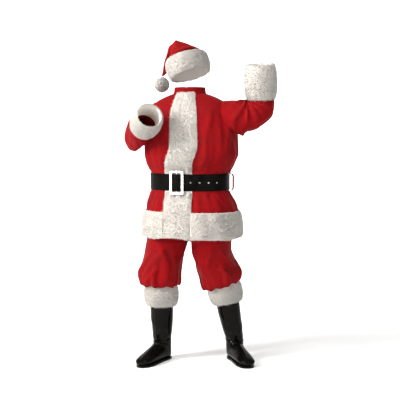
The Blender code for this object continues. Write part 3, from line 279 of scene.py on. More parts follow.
# Folds and creases of the legs: a row for each ridge
# Columns: part of the turn, height, lean, width, length, depth
LEG_FOLDS = {
    "right": (
        (0.34, -0.90, -0.9, 0.035, 0.09, 0.010), (0.20, -0.93, 0.7, 0.040, 0.08, 0.008),
        (0.62, -0.92, -0.6, 0.045, 0.10, 0.008), (0.82, -0.90, 0.6, 0.045, 0.09, 0.008),
        (0.25, -0.840, 0.9, 0.022, 0.060, 0.0120), (0.33, -0.960, -1.4, 0.020, 0.035, 0.0100),
        (0.14, -0.900, 0.5, 0.022, 0.070, 0.0120), (0.08, -0.850, -0.5, 0.022, 0.060, 0.0100),
        (0.42, -0.900, -0.9, 0.024, 0.070, 0.0120), (0.50, -0.950, 0.9, 0.022, 0.045, 0.0110),
        (0.58, -0.870, 0.5, 0.024, 0.080, 0.0120), (0.68, -0.940, -0.8, 0.022, 0.055, 0.0120),
        (0.76, -0.870, 0.6, 0.024, 0.070, 0.0120), (0.88, -0.940, 0.8, 0.022, 0.050, 0.0110),
        (0.94, -0.860, -0.5, 0.022, 0.060, 0.0100),
    ),
    "left": (
        (0.30, -0.93, 0.8, 0.035, 0.08, 0.010), (0.15, -0.90, -0.6, 0.040, 0.09, 0.008),
        (0.60, -0.92, 0.6, 0.045, 0.10, 0.008), (0.80, -0.90, -0.6, 0.045, 0.09, 0.008),
        (0.22, -0.850, 0.8, 0.022, 0.060, 0.0120), (0.30, -0.945, -1.4, 0.020, 0.040, 0.0120),
        (0.12, -0.920, 0.6, 0.022, 0.060, 0.0110), (0.06, -0.850, -0.5, 0.022, 0.060, 0.0100),
        (0.38, -0.890, -0.8, 0.024, 0.070, 0.0130), (0.47, -0.940, 0.9, 0.022, 0.045, 0.0110),
        (0.56, -0.860, 0.5, 0.024, 0.080, 0.0120), (0.66, -0.930, -0.8, 0.022, 0.055, 0.0120),
        (0.75, -0.870, 0.6, 0.024, 0.070, 0.0120), (0.86, -0.930, 0.8, 0.022, 0.050, 0.0110),
        (0.93, -0.870, -0.5, 0.022, 0.060, 0.0100),
    ),
}

# Trouser cuffs: rows of the fur ring, from its top, for both legs
# Columns: down, inner, outer
LEG_CUFF_ROWS = (
    (0.000, 0.0786, 0.0800),
    (0.012, 0.0786, 0.0890),
    (0.045, 0.0786, 0.1000),
    (0.082, 0.0750, 0.0985),
    (0.112, 0.0682, 0.0900),
    (0.124, 0.0664, 0.0760),
)
LEG_CUFFS = {
    "right": {"top": (-0.163, 0.028, -1.020), "tilt": 0.0, "foot_tilt": 0.0,
              "foot": (-0.1602, 0.0390, -1.144)},
    "left": {"top": (0.184, 0.028, -1.012), "tilt": 17.0, "foot_tilt": 10.7,
             "foot": (0.2109, 0.0441, -1.128)},
}

# Boots: a row for each ring, as its upper and lower point beside the ankle
# Columns: top forward, top height, low forward, low height, half width
BOOT_RINGS = (
    (0.0500, 0.118, -0.0540, 0.108, 0.0500),
    (0.0570, 0.108, -0.0600, 0.060, 0.0460),
    (0.0760, 0.100, -0.0670, 0.0180, 0.0420),
    (0.1000, 0.090, -0.0560, 0.0115, 0.0430),
    (0.1280, 0.077, 0.0400, 0.0115, 0.0450),
    (0.1650, 0.060, 0.1250, 0.0115, 0.0470),
    (0.1950, 0.045, 0.1780, 0.0120, 0.0420),
    (0.2110, 0.031, 0.2040, 0.0140, 0.0270),
)
TOE_STEPS = np.radians((25, 50, 72))
INSTEP_RIDGE = (0.0022, 0.0010, 4.5, 11)   # height, the dip's depth, their width, the dip's place
TOE_BULGES = {"outer": (0.007, 0.0073), "inner": (0.005, 0.0052)}   # of the rings and of the tip
SHAFT_BOW = 0.006     # how far the shaft bows back
# Columns: part, half width, half depth
SHAFT_RINGS = (
    (0.00, 0.0650, 0.0650),
    (0.30, 0.0640, 0.0650),
    (0.62, 0.0580, 0.0620),
    (0.86, 0.0525, 0.0560),
)
BOOTS = {
    "right": {"ankle": (-0.160, 0.055), "heading": radians(-33),
              "shaft_top": (-0.1632, 0.030, -1.085), "tilt": 0.0},
    "left": {"ankle": (0.252, 0.062), "heading": radians(20),
             "shaft_top": (0.2030, 0.036, -1.080), "tilt": 13.0},
}

# Hat: its band tips up at its left and at the front
HAT_MIDDLE = (-0.010, -0.015, 0.182)
HAT_ROLL = radians(-15)
HAT_PITCH = radians(-12)
HAT_HALF = (0.099, 0.112)
HAT_FUR = 0.021
HAT_BAND_HALF_HEIGHT = 0.050
HAT_OVERLAP = 0.025
# Columns: outer x, outer z, inner x, inner z, half depth, back, front rise
HAT_RINGS = (
    (0.0520, 0.2680, -0.1175, 0.2130, 0.1050, -0.012, 0.024),
    (0.0120, 0.2870, -0.1145, 0.2220, 0.0960, -0.006, 0.022),
    (-0.0300, 0.3040, -0.1115, 0.2300, 0.0840, 0.002, 0.018),
    (-0.0700, 0.3150, -0.1090, 0.2370, 0.0690, 0.012, 0.012),
    (-0.1000, 0.2970, -0.1080, 0.2420, 0.0540, 0.024, 0.006),
    (-0.1227, 0.2585, -0.1115, 0.2400, 0.0400, 0.038, 0.0),
    (-0.1400, 0.2190, -0.1180, 0.2160, 0.0300, 0.052, 0.0),
    (-0.1475, 0.1860, -0.1230, 0.1830, 0.0220, 0.062, 0.0),
    (-0.1530, 0.1500, -0.1285, 0.1490, 0.0165, 0.062, 0.0),
    (-0.1590, 0.1310, -0.1470, 0.1310, 0.0095, 0.054, 0.0),
)
POMPOM_MIDDLE = (-0.1555, 0.0520, 0.0866)
POMPOM_RADIUS = 0.0440
HAT_AROUND = 18

# Creases of the sleeves, the hat's crown and the boots: a row for each ridge
# Columns: turn in degrees, ring number, lean, width in rings, length in degrees, depth
SLEEVE_CREASES = {
    "left": (
        (180, 2.0, 0.9, 0.30, 60, 0.0065), (175, 2.9, 0.6, 0.26, 55, 0.0070),
        (185, 3.8, 0.4, 0.26, 60, 0.0070), (180, 4.6, -0.4, 0.26, 55, 0.0060),
        (100, 1.6, 1.1, 0.34, 55, 0.0075), (95, 2.7, 0.9, 0.32, 55, 0.0070),
        (80, 3.8, 0.8, 0.34, 50, 0.0060), (110, 4.9, 0.5, 0.28, 60, 0.0045),
        (270, 1.9, -1.0, 0.36, 60, 0.0070), (265, 3.2, -0.8, 0.34, 55, 0.0065),
        (280, 4.5, -0.6, 0.32, 55, 0.0050), (10, 1.2, 0.6, 0.32, 50, 0.0055),
        (0, 4.6, 0.7, 0.40, 60, 0.0040),
    ),
    "right": (
        (90, 3.0, 0.5, 0.30, 55, 0.0050), (95, 4.1, 0.4, 0.28, 55, 0.0055),
        (85, 5.2, -0.4, 0.28, 55, 0.0050), (180, 1.8, 0.8, 0.36, 60, 0.0065),
        (170, 3.2, 0.8, 0.34, 55, 0.0065), (190, 4.6, 0.6, 0.32, 50, 0.0055),
        (270, 2.4, -0.9, 0.40, 60, 0.0070), (275, 4.0, -0.8, 0.36, 60, 0.0065),
        (260, 5.4, -0.6, 0.32, 60, 0.0060), (350, 2.6, 0.7, 0.36, 50, 0.0050),
        (0, 4.2, 0.8, 0.34, 55, 0.0060), (10, 5.6, 0.5, 0.30, 60, 0.0055),
    ),
}

HAT_CREASES = (
    (200, 4.6, 0.5, 0.40, 40, -0.0050), (150, 4.4, -0.5, 0.40, 40, -0.0045),
    (250, 3.4, 0.9, 0.45, 45, 0.0055), (290, 4.6, 0.8, 0.40, 40, 0.0060),
    (90, 4.0, -0.8, 0.45, 45, 0.0050), (40, 5.4, 0.5, 0.40, 40, 0.0045),
    (320, 6.4, 0.6, 0.45, 45, 0.0045), (240, 7.2, 0.6, 0.40, 45, 0.0035),
    (270, 2.2, -0.7, 0.40, 40, 0.0040), (90, 7.4, 0.5, 0.45, 50, 0.0035),
)
BOOT_CREASES = (
    (90, 4.1, 0.0, 0.16, 65, -0.0032), (85, 4.7, 0.2, 0.15, 60, -0.0036),
    (95, 5.3, -0.2, 0.16, 60, -0.0028), (20, 3.6, 0.5, 0.22, 45, -0.0024),
    (160, 3.7, -0.5, 0.22, 45, -0.0026), (60, 2.6, 0.6, 0.24, 50, 0.0020),
    (120, 1.8, -0.5, 0.26, 50, 0.0018), (270, 3.4, 0.3, 0.24, 60, -0.0024),
)

# Small ripples of the sleeves and the hat
# Columns: size, then turns and rings of the first wave, rings and turns of the second
SLEEVE_RIPPLE = (0.0012, 7, 2.2, 2.9, 3)
HAT_RIPPLE = (0.0010, 5, 1.9, 2.3, 2)

# Fur: how many hairs stand for each CAD node's pile, and their seed
FUR_COUNTS = {
    "fur_front_band": (33000, 11), "fur_hem_band": (46000, 12), "fur_cuff_left": (20000, 13),
    "fur_cuff_right": (18000, 14), "trouser_fur_cuff_left": (20000, 15),
    "trouser_fur_cuff_right": (20000, 16), "hat_fur_band": (27000, 17), "hat_pompom": (16000, 18),
}
FUR_BACKING = 0.64    # part of the fur's depth that its dense backing fills
# The backing's tone sits midway on the ramp of painted shade from the roots to the tips
BACKING_SHADE_TONE = (0.45, 0.5)   # where the backing's colour lies from root to tip, and its shade
ROOT_DEPTH = 0.0012   # how far a hair's root goes into the backing
HAIR_LENGTHS = (0.70, 0.25, 0.45)   # of the depth: least, by chance, and in the fullest tuft
TUFT_TURN, HAIR_TURN = 0.22, 0.50   # how far a tuft and a hair by itself lean from upright
TUFT_PULL, TUFT_BEND, HAIR_DROOP = 0.16, 0.16, 0.16   # how far a hair's end bends
BEND_AT = 0.55        # part of a hair's length below its bend
TUFTS = 4096          # different tufts
TUFT_MIX = (73856093, 19349663, 83492791)   # spreads neighbours over the tufts

# Lights: name, place, width and height, colour
LIGHTS = (
    ("key", (-4.0, -2.1, 1.7), (1.2, 2.2), (1.0, 0.98, 0.95)),
    ("strip", (-2.7, -3.3, 0.3), (0.5, 3.0), (1.0, 1.0, 1.0)),
    ("fill", (2.6, -4.2, 0.2), (2.0, 2.6), (0.95, 0.97, 1.0)),
    ("top", (-0.7, -1.9, 3.1), (1.6, 0.8), (1.0, 1.0, 1.0)),
)
WHITE = (1.0, 1.0, 1.0, 1.0)
WALL_START, WALL_BEND = 4.4, 2.0   # where the floor starts to rise, and its radius
BACKDROP_REACH = (9.0, 7.0, 8.0)   # to each side, to the front and up

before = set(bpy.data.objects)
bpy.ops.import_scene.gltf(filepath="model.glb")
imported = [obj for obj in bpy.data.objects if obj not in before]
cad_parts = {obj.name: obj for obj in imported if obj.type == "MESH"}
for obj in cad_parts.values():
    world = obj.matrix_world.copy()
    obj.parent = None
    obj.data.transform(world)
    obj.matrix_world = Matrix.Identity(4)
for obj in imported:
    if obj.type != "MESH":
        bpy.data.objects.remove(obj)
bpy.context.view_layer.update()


def smooth_through(knots, values, at):
    """Cubic curve through (knots, values) that keeps between them, read at each entry of at."""
    knots = np.asarray(knots, float)
    values = np.asarray(values, float)
    step = np.diff(knots)
    rise = np.diff(values) / step
    slope = np.zeros_like(values)
    product = rise[:-1] * rise[1:]
    total = rise[:-1] + rise[1:]
    slope[1:-1] = np.where(product > 0, 2 * product / np.where(product > 0, total, 1), 0)
    slope[0] = rise[0]
    slope[-1] = rise[-1]
    at = np.clip(at, knots[0], knots[-1])
    i = np.clip(np.searchsorted(knots, at, side="right") - 1, 0, len(step) - 1)
    u = (at - knots[i]) / step[i]
    start = (1 + 2 * u) * (1 - u) ** 2 * values[i] + u * (1 - u) ** 2 * step[i] * slope[i]
    end = u ** 2 * (3 - 2 * u) * values[i + 1] + u ** 2 * (u - 1) * step[i] * slope[i + 1]
    return start + end


def ease(value, low, high):
    """Smooth step from 0 at low to 1 at high; low may be the larger."""
    u = np.clip((value - low) / (high - low), 0, 1)
    return u * u * (3 - 2 * u)


def unit(vectors):
    """Vectors made one metre long."""
    return vectors / np.linalg.norm(vectors, axis=-1, keepdims=True)


def turned(points, angle):
    """Points turned about the vertical through the origin."""
    c, s = np.cos(angle), np.sin(angle)
    x, y, z = points[..., 0], points[..., 1], points[..., 2]
    return np.stack([c * x - s * y, s * x + c * y, z], -1)


def waves(table, angle, rest=0):
    """Sum of size * (rest + cos(count * angle + phase)) over a table's rows."""
    return sum(size * (rest + np.cos(count * angle + phase)) for count, size, phase in table)


# Jacket's surface

BODY = np.array(BODY_RINGS)
BODY_ALONG = np.concatenate([[0], np.cumsum(np.hypot(np.diff(BODY[:, 0]), np.diff(BODY[:, 1])))])


def along_at(height):
    """Distance up the jacket's side where it reaches a height."""
    fine = np.linspace(0, BODY_ALONG[-1], 2000)
    return np.interp(height, smooth_through(BODY_ALONG, BODY[:, 0], fine), fine)


def body_sizes(along):
    """The body table's columns at each distance up the side."""
    return [smooth_through(BODY_ALONG, BODY[:, k], along) for k in range(len(BODY_COLUMNS))]


def fold_sum(table, angle, height):
    """Sum of a table's ridges, each with a shallow trough on both sides."""
    total = np.zeros(np.broadcast(angle, height).shape)
    for middle, level, lean, width, length, depth in table:
        off = angle - radians(middle) - radians(lean) * (height - level) / 0.1
        off = (off + pi) % (2 * pi) - pi
        off = off / radians(width)
        ridge = np.exp(-off ** 2) - TROUGH_DEPTH * np.exp(-(off / TROUGH_WIDTH) ** 2)
        total = total + depth * ridge * np.exp(-((height - level) / length) ** 2)
    return total


def fold_height(angle, height):
    """How far folds and creases lift the cloth; the belt presses them flat."""
    off = np.abs(height - BELT_HEIGHT)
    pressed = ease(off, 0.049, 0.095)
    folds = fold_sum(FOLDS, angle, height) * (1 - ease(height, -0.16, -0.06))
    creases = fold_sum(CREASES, angle, height) * (1 - ease(height, -0.10, -0.02))
    gathers = waves(BELT_GATHERS, angle)
    near = ease(off, 0.047, 0.064) * np.exp(-((off - 0.062) / 0.045) ** 2)
    return (folds + creases) * pressed + gathers * near


def body_point(angle, along):
    """Ring of a superellipse at each distance up the side, lifted by the folds."""
    height, half_width, front, back, square, sway = body_sizes(along)
    s, c = np.sin(angle), np.cos(angle)
    depth = np.where(c > 0, front, back)
    radius = ((np.abs(s) / half_width) ** square + (np.abs(c) / depth) ** square) ** (-1 / square)
    radius = radius + fold_height(angle, height)
    height = height + waves(HEM_WAVES, angle) * ease(-height, 0.58, 0.74)
    return turned(np.stack([radius * s + sway, -radius * c, height], -1), TURN)


def jacket(angle, along, out=0.0):
    """Points of the jacket's outer face, moved out square to it."""
    angle, along, out = np.broadcast_arrays(np.asarray(angle, float), along, out)
    across = body_point(angle + NUDGE, along) - body_point(angle - NUDGE, along)
    up = body_point(angle, along + NUDGE) - body_point(angle, along - NUDGE)
    normal = unit(np.cross(across, up))
    return body_point(angle, along) + normal * out[..., None]


# Columns of the jacket, shared by all that lies on it

ARM_LOW = along_at(UNDERARM)
ARM_HIGH = along_at(SHOULDER_TIP)
ARM_MIDDLE = (ARM_LOW + ARM_HIGH) / 2
ARM_HALF = (ARM_HIGH - ARM_LOW) / 2
BAND = np.array(BAND_ROWS)
BAND_STEPS = (-1.0, -UNDER_RIGHT, 0.0, UNDER_LEFT, 0.69, 1.0)
SIDE_STEPS = (0.14, 0.32, 0.50, 0.68, 0.85, 1.0)
BACK_STEPS = np.linspace(0, 1, 15)


def angle_across(along, across):
    """Angle whose ray passes a distance across from the jacket's middle, at the front."""
    front = body_sizes(along)[2]
    return np.arctan2(across, front * FRONT_REACH)


def band_angle(along, part):
    """Angle at a part of the front band's half width, -1 to 1."""
    height = body_sizes(along)[0]
    middle = smooth_through(BAND[:, 0], BAND[:, 1], height)
    half = smooth_through(BAND[:, 0], BAND[:, 2], height)
    return angle_across(along, middle + part * half)


def seam_angle(along):
    """Half the seam's gap as an angle at the jacket's side."""
    return SEAM / 2 / body_sizes(along)[1]


def armhole(along):
    """Half the armhole's width as an angle, 0 above and below it."""
    return ARM_OPENING * np.sqrt(np.clip(1 - ((along - ARM_MIDDLE) / ARM_HALF) ** 2, 0, 1))


def front_columns(along, side):
    """Angles of a front panel's columns, from the opening to the side seam."""
    edge = side * (pi / 2 - armhole(along) - seam_angle(along))
    parts = (UNDER_LEFT, 0.69, 1.0) if side > 0 else (-UNDER_RIGHT, -1.0)
    inner = [band_angle(along, part) for part in parts]
    outer = [inner[-1] + step * (edge - inner[-1]) for step in SIDE_STEPS]
    columns = np.stack(inner + outer, -1)
    return columns if side > 0 else columns[:, ::-1]


def back_columns(along):
    """Angles of the back panel's columns, from one side seam to the other."""
    start = pi / 2 + armhole(along) + seam_angle(along)
    end = 3 * pi / 2 - armhole(along) - seam_angle(along)
    return start[:, None] + BACK_STEPS * (end - start)[:, None]


def around_columns(along):
    """Angles all round outside the front band, its left edge to its right edge."""
    left = band_angle(along, 1.0)
    right = band_angle(along, -1.0)
    left_side = left[:, None] + np.array((0.0,) + SIDE_STEPS) * (pi / 2 - left)[:, None]
    right_side = right[:, None] + np.array((0.0,) + SIDE_STEPS) * (-pi / 2 - right)[:, None]
    back = np.repeat((pi / 2 + BACK_STEPS[1:-1] * pi)[None], len(along), 0)
    return np.concatenate([left_side, back, right_side[:, ::-1] + 2 * pi], 1)


def jacket_rows():
    """Rows of the panels: hem, belt, armhole and shoulder, in that order."""
    heights = (RED_HEM, FUR_HEM_TOP, -0.570, -0.535, BELT_HEIGHT - LOOP_REACH,
               BELT_HEIGHT - BELT_WIDTH / 2, BELT_HEIGHT + BELT_WIDTH / 2,
               BELT_HEIGHT + LOOP_REACH, -0.350, -0.310, -0.268, -0.228)
    below = along_at(np.array(heights))
    beside = ARM_MIDDLE - ARM_HALF * np.cos(np.linspace(0, pi, ARM_STEPS + 1))
    above = np.linspace(ARM_HIGH, along_at(NECK_SEAM), 4)[1:]
    return np.concatenate([below, beside, above])


def pile(height, full):
    """Depth of fur over the jacket at a height; the belt presses it."""
    free = ease(np.abs(height - BELT_HEIGHT), BELT_WIDTH / 2 + 0.002, BUCKLE_SIZE[1] / 2 + 0.035)
    return FLAT_FUR + (full - FLAT_FUR) * free


# Sleeves, belt, trousers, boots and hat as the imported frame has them


def arm_loop(side, turn):
    """Angles and distances of the armhole's edge, from the underarm round by the front."""
    reach = ARM_OPENING - SEAM / CHEST_RADIUS
    along = ARM_MIDDLE - (ARM_HALF - SEAM) * np.cos(turn)
    return side * (pi / 2 - reach * np.sin(turn)), along


def cuff_axes(side_name):
    """The cuff's directions: along it, to its underside and to its front."""
    place = CUFFS[side_name]
    side = 1 if side_name == "left" else -1
    ahead = unit(np.array(place["mouth"]) - np.array(place["start"]))
    front = np.array(place["front"])
    front = unit(front - ahead * ahead.dot(front))
    return ahead, side * np.cross(ahead, front), front


def sleeve_guides(side_name, loop):
    """Guide points of each ring, from the armhole's edge to the end under the cuff."""
    quarter = len(loop) // 4
    rings = [loop[::quarter]] + [np.array(row) for row in SLEEVE_GUIDES[side_name]]
    ahead, under, front = cuff_axes(side_name)
    start, radius = np.array(CUFFS[side_name]["start"]), CUFFS[side_name]["radius"]
    for down in (0, CUFF_OVERLAP):
        middle = start + down * ahead
        rings.append(middle + radius * np.stack([under, front, -under, -front]))
    return np.stack(rings)


def read_guides(guides, at):
    """Smooth curve through the rings' guide points, read at ring numbers."""
    slope = np.gradient(guides, axis=0)
    k = np.clip(np.floor(at).astype(int), 0, len(guides) - 2)
    u = (at - k)[:, None, None]
    start = (1 + 2 * u) * (1 - u) ** 2 * guides[k] + u * (1 - u) ** 2 * slope[k]
    return start + u ** 2 * (3 - 2 * u) * guides[k + 1] + u ** 2 * (u - 1) * slope[k + 1]


def guided_rings(guides, turn):
    """Closed curve through each ring's four guide points."""
    under, front, top, back = [guides[:, k, None] for k in range(4)]
    c, s = np.cos(turn)[None, :, None], np.sin(turn)[None, :, None]
    middle = (under + top) / 2 * c ** 2 + (front + back) / 2 * s ** 2
    return middle + (under - top) / 2 * c + (front - back) / 2 * s


def inward_of(rings):
    """Directions square to a tube's face, into the tube."""
    across = np.roll(rings, -1, 1) - np.roll(rings, 1, 1)
    normal = unit(np.cross(across, np.gradient(rings, axis=0)))
    middle = rings.mean(1, keepdims=True)
    return normal * np.sign(np.median((normal * (middle - rings)).sum(-1)))


def belt_columns():
    """Angles along the strap and its distance off the jacket at each.

    It starts behind the buckle's rod, goes round by the suit's right and the back, and
    passes over the rod and its own start to a free end. Angles fall along it.
    """
    level = along_at(np.array([BELT_HEIGHT]))
    steps = np.array((0.003, -0.003, -0.007, -0.011, -0.020, -0.030, -0.040))
    under = angle_across(level, BUCKLE_ACROSS + steps)
    roll = np.array((0.0038, 0.0038, 0.0026, 0.0, 0.0, 0.0, 0.0))
    tongue = band_angle(level, -UNDER_RIGHT)
    rise = angle_across(level, BUCKLE_ACROSS + np.array((0.011, 0.007)))
    left_band = band_angle(level, np.array((0.69, UNDER_LEFT)))
    around = around_columns(level)[0][::-1]
    on_fur = FLAT_FUR + 2 * LIE
    on_strap = on_fur + LEATHER + LIE
    on_edge = 0.0026
    angles = np.concatenate([under, tongue, around[:1] - 2 * pi, around[1:-1] - 2 * pi,
                             around[-1:] - 2 * pi, left_band - 2 * pi, rise - 2 * pi,
                             under - 2 * pi, tongue - 2 * pi])
    off = np.concatenate([np.full(len(under) + 1, on_fur), [on_edge], np.full(len(around) - 2, 2 * LIE),
                          [on_edge, on_fur, on_fur], on_strap + np.array((0.0, 0.0026)),
                          on_strap + roll, [on_strap]])
    return angles, off


def belt_loop_rows(stand):
    """Heights of a belt loop's rows over the belt's middle, and how far off each row is."""
    down = np.array((1.0, 0.95, 0.81, 0.45, -0.45, -0.81, -0.95, -1.0)) * LOOP_REACH
    bow = np.array((0.0007, 0.0032, 0.60 * stand, stand, stand, 0.60 * stand, 0.0032, 0.0007))
    over_belt = np.where(np.abs(down) < 0.051, LEATHER + 4 * LIE, 0)
    return down, np.maximum(bow, over_belt)


def hip_point(angle, height):
    """Hips under the jacket: an ellipse turned like it."""
    table = np.array(HIP_RINGS)
    order = table[::-1]
    half_width, front, back = [smooth_through(order[:, 0], order[:, k], height) for k in (1, 2, 3)]
    s, c = np.sin(angle), np.cos(angle)
    depth = np.where(c > 0, front, back)
    radius = ((np.abs(s) / half_width) ** 2 + (np.abs(c) / depth) ** 2) ** -0.5
    return turned(np.stack([radius * s, -radius * c, height + 0 * radius], -1), TURN)


def leg_point(side_name, part, height):
    """Ring of the leg below the crotch: an ellipse tipped by its tilt, with gathers.

    Its lower edge hangs over the fur in scallops where it is drawn in.
    """
    side = 1 if side_name == "left" else -1
    table = np.array(LEG_RINGS[side_name])[::-1]
    across, along, half_width, half_depth, tilt = [
        smooth_through(table[:, 0], table[:, k], height) for k in range(1, 6)]
    turn = 2 * pi * part
    full = 1 - ease(half_width, 0.104, 0.080)
    gather = waves(LEG_GATHERS, turn) * ease(-height, 0.84, 0.98) * full
    crease = leg_folds(side_name, part, height) * full
    inward = -side * np.cos(turn) * (half_width + gather + crease)
    forward = -np.sin(turn) * (half_depth + gather + crease)
    lean = np.radians(tilt)
    drawn = ease(-height, 0.94, 0.985) * ease(half_width, 0.0785, 0.100)
    hung = height - drawn * (LEG_HANG[side_name] + waves(LEG_SCALLOPS, turn, 1))
    return np.stack([across + inward * np.cos(lean), along + forward, hung + inward * np.sin(lean)], -1)


def leg_folds(side_name, part, height):
    """Sum of the leg's ridges depth * exp(-(off / width)^2 - (down / length)^2)."""
    total = 0
    for middle, level, lean, width, length, depth in LEG_FOLDS[side_name]:
        off = (part - middle - lean * (height - level) + 0.5) % 1 - 0.5
        near = np.exp(-(off / width) ** 2 - ((height - level) / length) ** 2)
        total = total + depth * near
    return total


def trouser_surface(side_name, part, height):
    """Half the hips above the crotch, passing to a closed ring below it."""
    side = 1 if side_name == "left" else -1
    rise = (CROTCH + CROTCH_RISE - height) / CROTCH_RISE
    seam = np.where(rise >= 1, 1, 1 - np.sqrt(np.clip(1 - np.clip(rise, 0, 1) ** 2, 0, 1)))
    near_seam = np.exp(-(np.sin(pi * part) / 0.35) ** 2)
    closed = near_seam * seam + (1 - near_seam) * ease(rise, 0, 1.25)
    angle = side * pi * part
    top = 1 - ease(-height, 0.461, 0.53)
    under = jacket(angle, along_at(height), -CLOTH - 0.0016)
    hips = hip_point(angle, height) * (1 - top)[..., None] + under * top[..., None]
    return hips * (1 - closed)[..., None] + leg_point(side_name, part, height) * closed[..., None]


def boot_rings(side_name, turn):
    """Rings from the shaft's top over the ankle to the toe."""
    place = BOOTS[side_name]
    heading = place["heading"]
    forward = np.array((np.sin(heading), -np.cos(heading), 0))
    right = np.array((np.cos(heading), np.sin(heading), 0))
    up = np.array((0.0, 0.0, 1.0))
    ankle = np.array((*place["ankle"], FLOOR))
    foot = np.array(BOOT_RINGS)
    c, s = np.cos(turn)[:, None], np.sin(turn)[:, None]
    squared = np.sign(s) * np.abs(s) ** 0.85
    bend = ankle + forward * (foot[0, 0] + foot[0, 2]) / 2 + up * (foot[0, 1] + foot[0, 3]) / 2
    top = np.array(place["shaft_top"])
    rings = []
    for part, half_width, half_depth in SHAFT_RINGS:
        tilt = radians(place["tilt"]) * (1 - part)
        wide = right * np.cos(tilt) + up * np.sin(tilt)
        middle = top + part * (bend - top) - SHAFT_BOW * np.sin(pi * part) * forward
        rings.append(middle + c * wide * half_width + s * forward * half_depth)
    for top_forward, top_height, low_forward, low_height, half_width in foot:
        high = ankle + forward * top_forward + up * top_height
        low = ankle + forward * low_forward + up * low_height
        rings.append((high + low) / 2 + c * right * half_width + squared * (high - low) / 2)
    return np.stack(rings)


def hat_axes():
    """Directions of the hat's band: across, back and up."""
    roll_c, roll_s = np.cos(HAT_ROLL), np.sin(HAT_ROLL)
    pitch_c, pitch_s = np.cos(HAT_PITCH), np.sin(HAT_PITCH)
    roll = np.array(((roll_c, 0, roll_s), (0, 1, 0), (-roll_s, 0, roll_c)))
    pitch = np.array(((1, 0, 0), (0, pitch_c, -pitch_s), (0, pitch_s, pitch_c)))
    return (roll @ pitch).T


def hat_ring(height, grow, turn):
    """Ring in the band's own plane, a height above its middle."""
    across, back, up = hat_axes()
    wide, deep = HAT_HALF[0] + grow, HAT_HALF[1] + grow
    return (np.array(HAT_MIDDLE) + height * up + np.cos(turn)[:, None] * across * wide
            + np.sin(turn)[:, None] * back * deep)


def crown_rings(turn):
    """Rings from under the band's fur, over the fold, to the tip that hangs behind."""
    c, s = np.cos(turn)[:, None], np.sin(turn)[:, None]
    rings = [hat_ring(HAT_BAND_HALF_HEIGHT - down, 0, turn) for down in (HAT_OVERLAP, 0)]
    for outer_x, outer_z, inner_x, inner_z, half_depth, back, rise in HAT_RINGS:
        high = np.array((outer_x, back, outer_z))
        near = np.array((inner_x, back, inner_z))
        rings.append((high + near) / 2 + c * (high - near) / 2 + s * np.array((0, half_depth, -rise)))
    return np.stack(rings)


# Meshes

def finer(values, steps):
    """Values with even steps put between neighbours along the last axis."""
    values = np.asarray(values, float)
    last = values.shape[-1] - 1
    at = np.linspace(0, last, last * steps + 1)
    low = np.minimum(at.astype(int), last - 1)
    share = at - low
    return values[..., low] * (1 - share) + values[..., low + 1] * share


def length_along(points, axis):
    """Distance run along an axis of a grid, in metres."""
    step = np.linalg.norm(np.diff(points, axis=axis), axis=-1)
    start = np.zeros_like(np.take(step, [0], axis=axis))
    return np.concatenate([start, np.cumsum(step, axis=axis)], axis=axis)


def closed_columns(grid):
    """Grid with its first column again after its last."""
    return np.concatenate([grid, grid[:, :1]], 1)


def four_corners(grid):
    """The corners of each cell, in order round it, as four grids."""
    return grid[:-1, :-1], grid[:-1, 1:], grid[1:, 1:], grid[1:, :-1]


def corners_of(grid):
    """The four corner entries of each cell of a grid."""
    return np.stack(four_corners(grid), 2).reshape(-1, 4, grid.shape[-1])


def cell_areas(grid):
    """Area of each cell: half the cross product of its diagonals."""
    a, b, c, d = four_corners(grid)
    return np.linalg.norm(np.cross(c - a, d - b), axis=-1) / 2


def wall_cells(outer, inner, around=False, open_end=True):
    """Points and quads of a wall between two grids, each corner as (point, u, v).

    u and v run in metres across and along the outer grid, so a pattern keeps its scale.
    """
    rows, columns = outer.shape[:2]
    closed = closed_columns(outer) if around else outer
    u, v = length_along(closed, 1), length_along(closed, 0)
    number = np.arange(rows * columns).reshape(rows, columns)
    if around:
        number = closed_columns(number)
    grid = np.stack([number, u, v], -1)
    other = grid + (rows * columns, 0, 0)
    cells = [corners_of(grid), corners_of(other)[:, ::-1]]
    edges = [(grid[0], other[0])]
    if open_end:
        edges.append((grid[-1], other[-1]))
    if not around:
        edges += [(grid[:, 0], other[:, 0]), (grid[:, -1], other[:, -1])]
    cells += [corners_of(np.stack(pair)) for pair in edges]
    return np.concatenate([outer.reshape(-1, 3), inner.reshape(-1, 3)]), np.concatenate(cells)


def new_object(name, mesh, material):
    """Object of a mesh, with its look, in the scene."""
    mesh.materials.append(bpy.data.materials[material + "_look"])
    item = bpy.data.objects.new(name, mesh)
    bpy.context.scene.collection.objects.link(item)
    return item


def add_wall(name, outer, inner, material, around=False, tip=None):
    """Smooth closed wall between two grids; tip closes its last row over two points."""
    points, cells = wall_cells(outer, inner, around, tip is None)
    faces = cells[..., 0].astype(int).tolist()
    spread = cells[..., 1:].reshape(-1, 2)
    if tip is not None:
        count = len(points) // 2
        columns = outer.shape[1]
        last = np.arange(count - columns, count)
        after = np.roll(last, -1)
        faces += np.stack([last, after, np.full(columns, 2 * count)], 1).tolist()
        faces += np.stack([after + count, last + count, np.full(columns, 2 * count + 1)], 1).tolist()
        points = np.concatenate([points, tip])
        spread = np.concatenate([spread, np.zeros((6 * columns, 2))])
    mesh = bpy.data.meshes.new(name)
    mesh.from_pydata(points.tolist(), [], faces)
    layer = mesh.uv_layers.new(name="cloth")
    layer.data.foreach_set("uv", spread.astype(np.float32).ravel())
    body = bmesh.new()
    body.from_mesh(mesh)
    bmesh.ops.recalc_face_normals(body, faces=body.faces)
    body.to_mesh(mesh)
    body.free()
    mesh.shade_smooth()
    mesh.set_sharp_from_angle(angle=radians(60))
    return new_object(name, mesh, material)


def finish_piece(item, slot, *nodes):
    """Attach a piece to the root body and hide the CAD nodes that it stands for; slot is not used."""
    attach(item, "root")
    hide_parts(*nodes)


